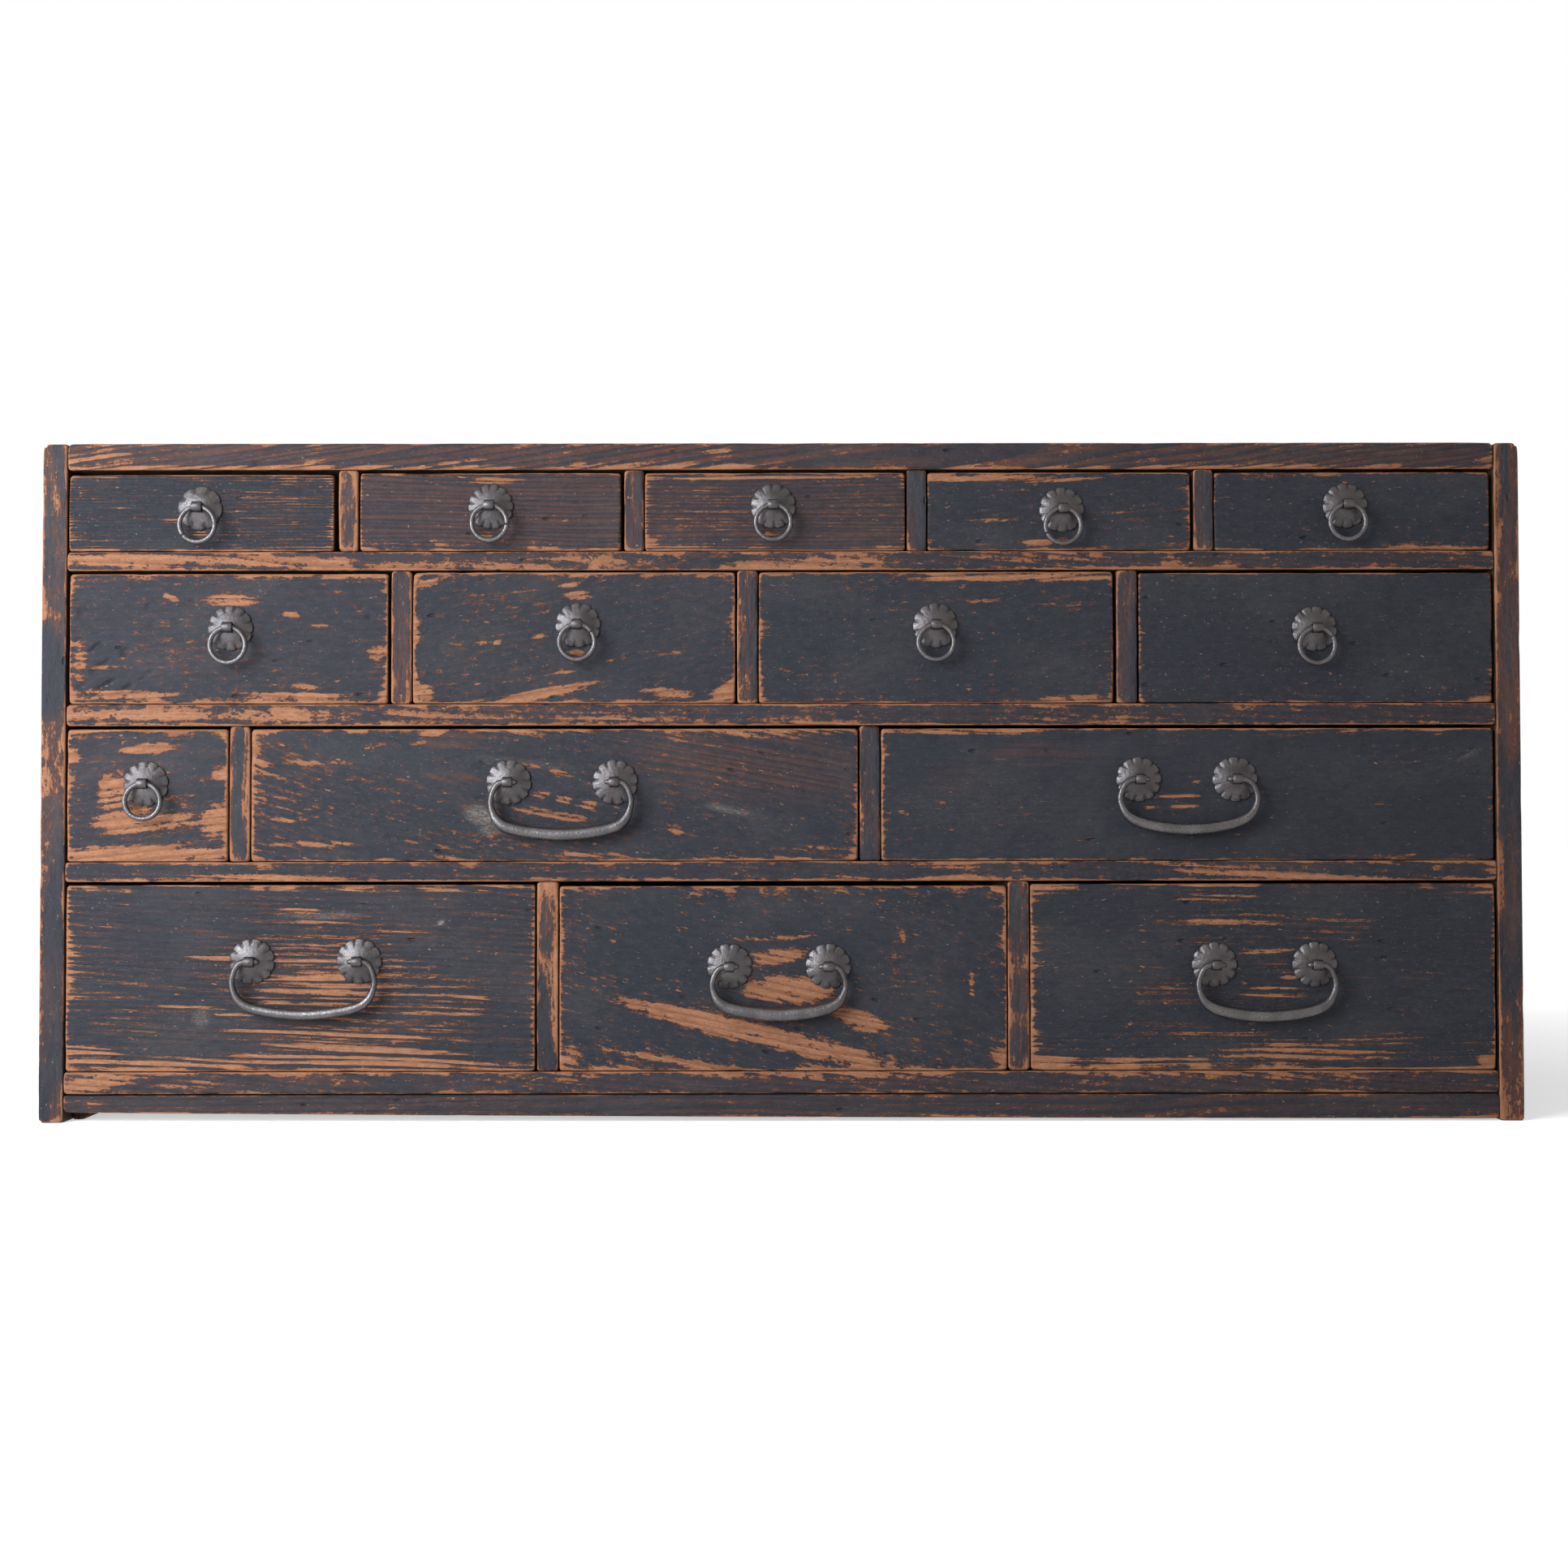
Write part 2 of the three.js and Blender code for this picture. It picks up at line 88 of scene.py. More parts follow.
# Where the random seeds of each kind of piece begin
SEEDS = dict(
    sides=4000, top=4400, shelves=5000, dividers=6000, back=7000, apron=8000, block=8400,
    fronts=10000, boxes=20000, plates=300, pins=400, ring_bends=500, ring_rub=520,
    ring_grain=540, bail_bends=600, bail_rub=620, bail_grain=640)

# How far apart the seeds of two boards, two shelves' dividers and two drawers lie
BOARD_SEEDS = 40
SHELF_SEEDS = 400
DRAWER_SEEDS = 200

# How far under the front face wear, dents and marks fade out
FRONT_FADE = 3 * MM


# Settings

class ChestSizes(bpy.types.PropertyGroup):
    """Sizes of the finish and of the boards that the frame leaves whole."""

    arris: FloatProperty(
        name="Arris", description="Radius of a handled board edge",
        default=0.0009, unit="LENGTH")
    arris_wear: FloatProperty(
        name="Arris wear", description="What wear adds to the radius of an edge",
        default=0.0012, unit="LENGTH")
    dent_depth: FloatProperty(
        name="Dent depth", description="Depth of a whole dent in a drawer's front",
        default=0.0014, unit="LENGTH")
    corner_wear: FloatProperty(
        name="Corner wear", description="What wear adds to the radius at a corner",
        default=0.0014, unit="LENGTH")
    top_corner: FloatProperty(
        name="Top corner", description="Radius of the outer top corners of the side boards",
        default=0.004, unit="LENGTH")
    foot_corner: FloatProperty(
        name="Foot corner", description="Radius worn on the outer corner of the left foot",
        default=0.003, unit="LENGTH")
    mesh_along: FloatProperty(
        name="Mesh along the grain", description="Widest spacing of points along a shown board",
        default=0.0026, unit="LENGTH")
    mesh_across: FloatProperty(
        name="Mesh across the grain", description="Widest spacing of points across a shown board",
        default=0.0013, unit="LENGTH")
    mesh_hidden: FloatProperty(
        name="Mesh out of sight", description="Widest spacing of points on hidden boards",
        default=0.012, unit="LENGTH")
    paint_spill: FloatProperty(
        name="Paint spill", description="How far the paint runs round an edge",
        default=0.0016, unit="LENGTH")
    # The gaps round the drawers are darkened by soiling and by painted shade: this is how deep that
    # darkening reaches
    gap_grime_and_shade_reach: FloatProperty(
        name="Grime", description="How deep dirt darkens the gaps round the drawers",
        default=0.03, unit="LENGTH")
    joint_gap: FloatProperty(
        name="Joint gap", description="Open joint between two boards",
        default=0.0003, unit="LENGTH")
    front_board: FloatProperty(
        name="Drawer front", description="Thickness of a drawer's front board",
        default=0.014, unit="LENGTH")
    wall_board: FloatProperty(
        name="Drawer wall", description="Thickness of a drawer's sides and back",
        default=0.007, unit="LENGTH")
    floor_board: FloatProperty(
        name="Drawer floor", description="Thickness of a drawer's floor",
        default=0.005, unit="LENGTH")
    wall_inset: FloatProperty(
        name="Wall inset", description="How far a drawer's sides lie inside its front",
        default=0.0006, unit="LENGTH")
    wall_drop: FloatProperty(
        name="Wall drop", description="How far a drawer's sides lie below its front",
        default=0.0015, unit="LENGTH")
    back_drop: FloatProperty(
        name="Back drop", description="How far a drawer's back lies below its sides",
        default=0.005, unit="LENGTH")
    growth_ring: FloatProperty(
        name="Growth ring", description="Mean width of a growth ring in the wood",
        default=0.0042, unit="LENGTH")


class ChestIron(bpy.types.PropertyGroup):
    """Sizes of the forged pulls."""

    plate_rise: FloatProperty(
        name="Plate rise", description="Height of the domed plate over the drawer",
        default=0.0038, unit="LENGTH")
    plate_wall: FloatProperty(
        name="Plate wall", description="Thickness of the plate's iron",
        default=0.001, unit="LENGTH")
    petal_notch: FloatProperty(
        name="Petal notch", description="Depth of the notches between the petals",
        default=0.0013, unit="LENGTH")
    petal_groove: FloatProperty(
        name="Petal groove", description="Depth of the grooves between the petals",
        default=0.0003, unit="LENGTH")
    strap_width: FloatProperty(
        name="Strap width", description="Width of the split pin's strap",
        default=0.0064, unit="LENGTH")
    strap_thickness: FloatProperty(
        name="Strap thickness", description="Thickness of the split pin's strap",
        default=0.0011, unit="LENGTH")
    eye_bore: FloatProperty(
        name="Eye bore", description="Radius of the hole in the split pin's eye",
        default=0.0022, unit="LENGTH")
    clench: FloatProperty(
        name="Clench", description="Length of the pin's legs bent over behind the front",
        default=0.009, unit="LENGTH")
    ring_wire: FloatProperty(
        name="Ring wire", description="Radius of the ring's wire",
        default=0.00155, unit="LENGTH")
    ring_gap: FloatProperty(
        name="Ring gap", description="Gap at the ring's butt joint",
        default=0.0005, unit="LENGTH")
    bail_end: FloatProperty(
        name="Bail end", description="Radius of the bail where it turns in the eyes",
        default=0.00178, unit="LENGTH")
    bail_tip: FloatProperty(
        name="Bail tip", description="How far the bail's ends stand out of the eyes",
        default=0.0026, unit="LENGTH")


class ChestColours(bpy.types.PropertyGroup):
    """Colours of the finishes, as a colour picker shows them."""

    paint: FloatVectorProperty(
        name="Paint", description="Blue-black paint", subtype="COLOR",
        default=(0.0166, 0.0171, 0.0222), min=0, max=1)
    paint_warm: FloatVectorProperty(
        name="Warm paint", description="Paint where it has browned", subtype="COLOR",
        default=(0.07, 0.028, 0.021), min=0, max=1)
    stain: FloatVectorProperty(
        name="Stain", description="Reddish stain under thin paint", subtype="COLOR",
        default=(0.1, 0.036, 0.021), min=0, max=1)
    wood: FloatVectorProperty(
        name="Bare wood", description="Soft wood worn bare", subtype="COLOR",
        default=(0.315, 0.143, 0.074), min=0, max=1)
    wood_late: FloatVectorProperty(
        name="Late wood", description="Hard dark lines of the bare wood", subtype="COLOR",
        default=(0.14, 0.05, 0.023), min=0, max=1)
    fleck: FloatVectorProperty(
        name="Fleck", description="Pale specks and scratches in the paint", subtype="COLOR",
        default=(0.36, 0.3, 0.24), min=0, max=1)
    raw: FloatVectorProperty(
        name="Raw wood", description="Unpainted wood inside and behind", subtype="COLOR",
        default=(0.30, 0.17, 0.088), min=0, max=1)
    raw_late: FloatVectorProperty(
        name="Raw late wood", description="Dark lines of the unpainted wood", subtype="COLOR",
        default=(0.15, 0.075, 0.036), min=0, max=1)
    iron: FloatVectorProperty(
        name="Iron", description="Dark forged iron", subtype="COLOR",
        default=(0.046, 0.0415, 0.0425), min=0, max=1)
    rust: FloatVectorProperty(
        name="Brown iron", description="Iron where it has browned", subtype="COLOR",
        default=(0.046, 0.032, 0.028), min=0, max=1)
    rubbed: FloatVectorProperty(
        name="Rubbed iron", description="Iron polished by hands", subtype="COLOR",
        default=(0.155, 0.142, 0.14), min=0, max=1)
    floor: FloatVectorProperty(
        name="Floor", description="Pale studio floor", subtype="COLOR",
        default=(0.82, 0.82, 0.82), min=0, max=1)


class ChestStage(bpy.types.PropertyGroup):
    """Camera and lamps."""

    camera_distance: FloatProperty(
        name="Camera distance", description="From the lens to the plane of the chest's front",
        default=1.15, unit="LENGTH")
    camera_height: FloatProperty(
        name="Camera height", description="Height of the lens over the floor",
        default=0.1802, unit="LENGTH")
    camera_side: FloatProperty(
        name="Camera side", description="Place of the lens to the right of the middle",
        default=-0.0005, unit="LENGTH")
    camera_yaw: FloatProperty(
        name="Yaw", description="Turn of the lens to the right",
        default=0.0018, subtype="ANGLE")
    camera_pitch: FloatProperty(
        name="Pitch", description="Tilt of the lens upwards",
        default=0.0231, subtype="ANGLE")
    camera_roll: FloatProperty(
        name="Roll", description="Roll of the lens",
        default=0.0014, subtype="ANGLE")
    focal_pixels: FloatProperty(
        name="Focal length in pixels", description="Focal length in pixels of the photograph",
        default=2309.4)
    key_power: FloatProperty(
        name="Key lamp", description="Large soft lamp at the front left",
        default=46, subtype="POWER")
    key_side: FloatProperty(
        name="Key lamp side", description="Side of the key lamp",
        default=0.9, unit="LENGTH")
    key_place: FloatVectorProperty(
        name="Key lamp place", description="Middle of the key lamp",
        default=(-1.05, -1.08, 0.6), subtype="XYZ", unit="LENGTH")
    key_colour: FloatVectorProperty(
        name="Key lamp colour", description="Cool light of a window", subtype="COLOR",
        default=(0.82, 0.91, 1), min=0, max=1)
    fill_power: FloatProperty(
        name="Fill lamp", description="Soft lamp over the chest",
        default=2, subtype="POWER")
    fill_side: FloatProperty(
        name="Fill lamp side", description="Side of the fill lamp",
        default=1, unit="LENGTH")
    fill_place: FloatVectorProperty(
        name="Fill lamp place", description="Middle of the fill lamp",
        default=(-0.3, -0.9, 1.5), subtype="XYZ", unit="LENGTH")
    surround: FloatProperty(
        name="Surround", description="Level of the light around the key lamp",
        default=0.4)
    surround_dark: FloatProperty(
        name="Dark surround", description="Level of the light away from the key lamp",
        default=0.03)
    floor_lift: FloatProperty(
        name="Floor lift", description="What the camera sees added to the floor by the chest",
        default=0.55)
    white_from: FloatProperty(
        name="White from", description="Distance from the middle where the floor is plain white",
        default=1.5, unit="LENGTH")
    floor_side: FloatProperty(
        name="Floor side", description="Side of the square floor",
        default=30, unit="LENGTH")


def sizes():
    """Sizes of the boards."""
    return bpy.context.scene.chest_sizes


def iron():
    """Sizes of the pulls."""
    return bpy.context.scene.chest_iron


def colours():
    """Colours of the finishes."""
    return bpy.context.scene.chest_colours


def stage():
    """Settings of the camera and the lamps."""
    return bpy.context.scene.chest_stage


# Camera and photograph

def camera_turn():
    """Turn of the lens, level and facing the chest if all three angles are 0."""
    turn = Matrix.Rotation(-stage().camera_yaw, 4, "Z")
    turn @= Matrix.Rotation(math.pi / 2 + stage().camera_pitch, 4, "X")
    return turn @ Matrix.Rotation(-stage().camera_roll, 4, "Z")


def camera_place():
    """Place of the lens."""
    return Vector((stage().camera_side, front_plane() - stage().camera_distance,
                   stage().camera_height))


def front_plane():
    """The chest's front, as its side boards have it."""
    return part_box("side_left")[0].y


def from_photo(x, y):
    """The point of the front plane that shows at a pixel of the photograph."""
    sight = Vector((x - PHOTO_MIDDLE, PHOTO_MIDDLE - y, -stage().focal_pixels))
    sight = camera_turn().to_3x3() @ sight
    start = camera_place()
    return start + sight * ((front_plane() - start.y) / sight.y)


# Random fields

# Cells after which the noise repeats
NOISE_CELLS = 16


def noise(points, seed):
    """Smooth random values from -1 to 1 at points that are measured in the noise's own size."""
    table = np.random.default_rng(seed).uniform(-1, 1, [NOISE_CELLS] * 3)
    cell = np.floor(points).astype(int)
    part = points - cell
    part = part * part * (3 - 2 * part)
    total = np.zeros(len(points))
    for corner in itertools.product((0, 1), repeat=3):
        share = np.where(corner, part, 1 - part).prod(axis=1)
        total += share * table[tuple(((cell + corner) % NOISE_CELLS).T)]
    return total


def ramp(values, low, high):
    """0 below low and 1 above high, and smooth between them."""
    part = np.clip((values - low) / (high - low), 0, 1)
    return part * part * (3 - 2 * part)


# Boards

# How far from a corner it is worn round, and the largest share of a board that rounding takes
CORNER_REACH = 5 * MM
ROUND_LIMIT = 0.3

# How much a board's growth rings wander, in millimetres
RING_WAVE = 1.6

# Wear along an edge: how much there is by default, and how far its line and its bites reach, in
# millimetres
EDGE_WEAR = 0.6
EDGE_REACH = 1.0
BITE_REACH = 4.5

# What a whole worn mark adds to a board's wear, and where marks begin to fade and where they end,
# as shares of their half size
PATCH_DEPTH = 1.25
MARK_FADE = (0.55, 1.5)

# What each random field of a board adds to the board's seed
ARRIS_SEED, RING_SEED, SHIFT_SEED, SPILL_SEED, EDGE_SEED, BROAD_SEED = 1, 2, 3, 4, 5, 20
BITE_SEED, TEETH_SEED = 9, 10


def piece(name, points, faces, material, body, fields, stands_for=()):
    """A mesh object with its fields, riding on a body in place of the nodes it stands for."""
    mesh = bpy.data.meshes.new(name)
    mesh.from_pydata(points.tolist(), [], faces)
    for field, values in fields.items():
        values = np.asarray(values, np.float32)
        if values.ndim == 2:
            mesh.attributes.new(field, "FLOAT_VECTOR", "POINT").data.foreach_set(
                "vector", values.ravel())
        else:
            mesh.attributes.new(field, "FLOAT", "POINT").data.foreach_set("value", values)
    mesh.shade_smooth()
    mesh.materials.append(bpy.data.materials[material])
    made = bpy.data.objects.new(name, mesh)
    bpy.context.scene.collection.objects.link(made)
    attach(made, body)
    if stands_for:
        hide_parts(*stands_for)
    return made


def joined(parts):
    """Several (points, faces, fields) as one."""
    points, faces, fields, start = [], [], {}, 0
    for part_points, part_faces, part_fields in parts:
        points.append(part_points)
        faces += [[corner + start for corner in face] for face in part_faces]
        for field, values in part_fields.items():
            fields.setdefault(field, []).append(values)
        start += len(part_points)
    return np.concatenate(points), faces, {k: np.concatenate(v) for k, v in fields.items()}


# Where lines of points lie beside an edge: round it in degrees, and beyond it in millimetres
EDGE_TURNS = (45, 30, 15, 0)
EDGE_MARGINS = (0.5, 1.3, 2.4)
NEAR_SHARE = 0.46


def stations(low, high, radius, step):
    """Places from low to high, close together round both edges and then step apart at most."""
    near = [radius * (1 - math.tan(math.radians(turn))) for turn in EDGE_TURNS]
    near += [radius + margin * MM for margin in EDGE_MARGINS]
    near = [offset for offset in near if offset < NEAR_SHARE * (high - low)]
    count = max(1, math.ceil((high - low - 2 * near[-1]) / step))
    middle = np.linspace(low + near[-1], high - near[-1], count + 1)[1:-1]
    return np.array([low + n for n in near] + list(middle) + [high - n for n in near[::-1]])


def box_shell(places):
    """Points and faces of a box's six sides, with lines at the places given along each axis."""
    shape = tuple(len(axis) for axis in places)
    index = np.indices(shape)
    shown = np.zeros(shape, bool)
    for axis in (X, Y, Z):
        shown |= (index[axis] == 0) | (index[axis] == shape[axis] - 1)
    ids = np.full(shape, -1)
    ids[shown] = np.arange(shown.sum())
    points = np.stack([places[axis][index[axis][shown]] for axis in (X, Y, Z)], axis=1)
    faces = []
    for axis in (X, Y, Z):
        for end in (0, -1):
            sheet = np.take(ids, end, axis)
            ring = [sheet[:-1, :-1], sheet[1:, :-1], sheet[1:, 1:], sheet[:-1, 1:]]
            outward = (end == -1) != (axis == Y)
            ring = ring if outward else ring[::-1]
            faces += np.stack([corner.ravel() for corner in ring], axis=1).tolist()
    return points, faces


def rounded(points, low, high, radius):
    """Rounds a box's edges to a radius, which may differ from point to point."""
    radius = np.broadcast_to(radius, len(points))[:, None]
    core = np.clip(points, low + radius, high - radius)
    out = points - core
    reach = np.linalg.norm(out, axis=1, keepdims=True)
    return core + out * radius / np.maximum(reach, TINY)


def round_corner(points, axes, corner, inwards, radius):
    """Rounds the one edge of a box where two sides meet, by a radius larger than the rest."""
    a, b = axes
    gap_a = (points[:, a] - corner[0]) * inwards[0]
    gap_b = (points[:, b] - corner[1]) * inwards[1]
    near = (gap_a < radius) & (gap_b < radius)
    out_a, out_b = radius - gap_a[near], radius - gap_b[near]
    scale = np.maximum(out_a, out_b) / np.maximum(np.hypot(out_a, out_b), TINY)
    points[near, a] = corner[0] + inwards[0] * (radius - out_a * scale)
    points[near, b] = corner[1] + inwards[1] * (radius - out_b * scale)
    return points


class Board:
    """One board: its box, its grain, and the paint and the wear on it."""

    def __init__(self, low, high, along, through, seed):
        """A box whose grain runs along one axis, with its growth rings curved through another."""
        self.low, self.high = np.array(low, float), np.array(high, float)
        self.along, self.through, self.seed = along, through, seed
        self.across = X + Y + Z - along - through
        self.middle = (self.low + self.high) / 2
        # Where the pith lies: shares of the board's width across it, and millimetres under it
        self.pith = (0.3, 30)
        # How the grain leans and closes up along the board, and how close the rings are
        self.slope, self.taper, self.fineness = 0, 0.05, 1
        # How whole the paint is, how brown, and whether it goes in stripes (0) or in flakes (1)
        self.fresh, self.tone, self.ragged = 0.62, 0, 0.5
        self.painted = ()
        self.edges = {}
        self.worn, self.dented, self.tinted, self.scuffed = [], [], [], []
        self.steps = {}

    def noise(self, size, seed):
        """Smooth random values over the board from -1 to 1, for a size in millimetres."""
        return noise(self.flat / (size * MM), self.seed + seed)

    def gaps(self):
        """Distance of each point from the box's faces, by the faces' names."""
        found = {}
        for axis, (first, second) in enumerate(FACES):
            found[first] = self.flat[:, axis] - self.low[axis]
            found[second] = self.high[axis] - self.flat[:, axis]
        return found

    def on_front(self):
        """1 on the board's front, and less the farther behind it."""
        return np.exp(-self.gaps()["front"] / FRONT_FADE)

    def shell(self, hidden=False):
        """Points and faces, with rounded edges, worn corners and dents."""
        s = sizes()
        step = [s.mesh_hidden] * 3
        if not hidden:
            step = [s.mesh_across] * 3
            step[self.along] = s.mesh_along
        for axis, value in self.steps.items():
            step[axis] = value
        places = [stations(self.low[a], self.high[a], s.arris, step[a]) for a in (X, Y, Z)]
        self.flat, faces = box_shell(places)
        gaps = self.gaps()
        corner = sum(np.minimum(gaps[first], gaps[second]) for first, second in FACES)
        wear = s.arris_wear * ramp(self.noise(14, ARRIS_SEED), 0, 0.9)
        wear += s.corner_wear * np.exp(-corner / CORNER_REACH)
        limit = ROUND_LIMIT * (self.high - self.low).min()
        points = rounded(self.flat, self.low, self.high, np.minimum(s.arris + wear, limit))
        for dent in self.dented:
            points[:, Y] += s.dent_depth * dent.amount * dent.cover(self.flat) * self.on_front()
        return points, faces

    def grain(self):
        """Along the grain, across it and through the board, in millimetres: by the growth
        rings, and by the plain board."""
        place = (self.flat - self.middle) / MM
        along, across, through = (place[:, a] for a in (self.along, self.across, self.through))
        width = (self.high - self.low)[self.across] / MM
        across = across - self.slope * along
        depth = self.pith[1] + self.taper * along + through
        rings = np.hypot(across - self.pith[0] * width, depth)
        rings = self.fineness * rings + RING_WAVE * self.noise(70, RING_SEED)
        shift = np.random.default_rng(self.seed + SHIFT_SEED).uniform(0, 900, 3)
        ringed = np.stack([along, rings, through], axis=1) + shift
        return ringed, np.stack([along, across, through], axis=1) + shift

    def bare(self):
        """1 where the board was never painted."""
        if not self.painted:
            return np.ones(len(self.flat))
        gaps = self.gaps()
        nearest = np.min([gaps[face] for face in self.painted], axis=0)
        spill = sizes().paint_spill * (1 + 0.5 * self.noise(6, SPILL_SEED))
        return ramp(nearest, 0.5 * spill, 1.6 * spill)

    def wear(self):
        """Above 0 the paint has gone, and well below 0 it is whole."""
        gaps = self.gaps()
        total = np.full(len(self.flat), -float(self.fresh))
        for first, second in itertools.combinations((X, Y, Z), 2):
            for a, b in itertools.product(FACES[first], FACES[second]):
                face = b if a == "front" else a if b == "front" else "other"
                amount = self.edges.get(face, self.edges.get("other", EDGE_WEAR))
                gap = np.hypot(gaps[a], gaps[b]) / MM
                seed = EDGE_SEED + first * 3 + second
                patchy = self.noise(45, seed)
                teeth = self.noise(5, seed + TEETH_SEED)
                bitten = ramp(self.noise(16, seed + BITE_SEED) + 0.5 * teeth, -0.1, 0.7)
                total += amount * (1.9 + 0.9 * patchy) * np.exp(-gap / EDGE_REACH)
                total += amount * (0.1 + 1.1 * bitten) * np.exp(-gap / BITE_REACH)
        total += 0.2 * self.noise(38, BROAD_SEED)
        return total + PATCH_DEPTH * self.marked(self.worn)

    def marked(self, marks):
        """The strongest of some marks at each point, on the board's front alone."""
        best = np.zeros(len(self.flat))
        for mark in marks:
            best = np.maximum(best, mark.amount * mark.cover(self.flat))
        return best * self.on_front()

    def fields(self):
        """What the finishes read at each point."""
        ringed, plain = self.grain()
        return {
            "grain": ringed,
            "place": plain,
            "wear": self.wear(),
            "bare": self.bare(),
            # Soiling and painted shade in the gaps round the drawers, darkest at the front
            "gap_grime_and_shade": np.exp(-self.gaps()["front"] / sizes().gap_grime_and_shade_reach),
            "tone": self.tone + self.marked(self.tinted),
            "scuff": self.marked(self.scuffed),
            "ragged": np.full(len(self.flat), self.ragged),
        }

    def build(self, hidden=False):
        """Points, faces and fields."""
        points, faces = self.shell(hidden)
        return points, faces, self.fields()


class Mark:
    """A mark on a board's front, to wear, dent, brown or scuff it: its middle, its half length
    and its half height in pixels of the photograph, how much it drops to the right and how
    strong it is."""

    def __init__(self, x, y, long, high, drop=0, amount=1):
        self.x, self.y, self.long, self.high = x, y, long, high
        self.drop, self.amount = drop, amount

    def cover(self, points):
        """1 at the middle of the mark, and 0 outside it."""
        middle = from_photo(self.x, self.y)
        pixel = (from_photo(self.x + 1, self.y) - middle).length
        across = (points[:, X] - middle.x) / pixel
        down = (middle.z - points[:, Z]) / pixel - self.drop * across
        return 1 - ramp(np.hypot(across / self.long, down / self.high), *MARK_FADE)


# Looks of the boards. The figures of a mark are, in this order: its middle across and down, its
# half length and its half height, all in pixels of the photograph, its drop and its amount.

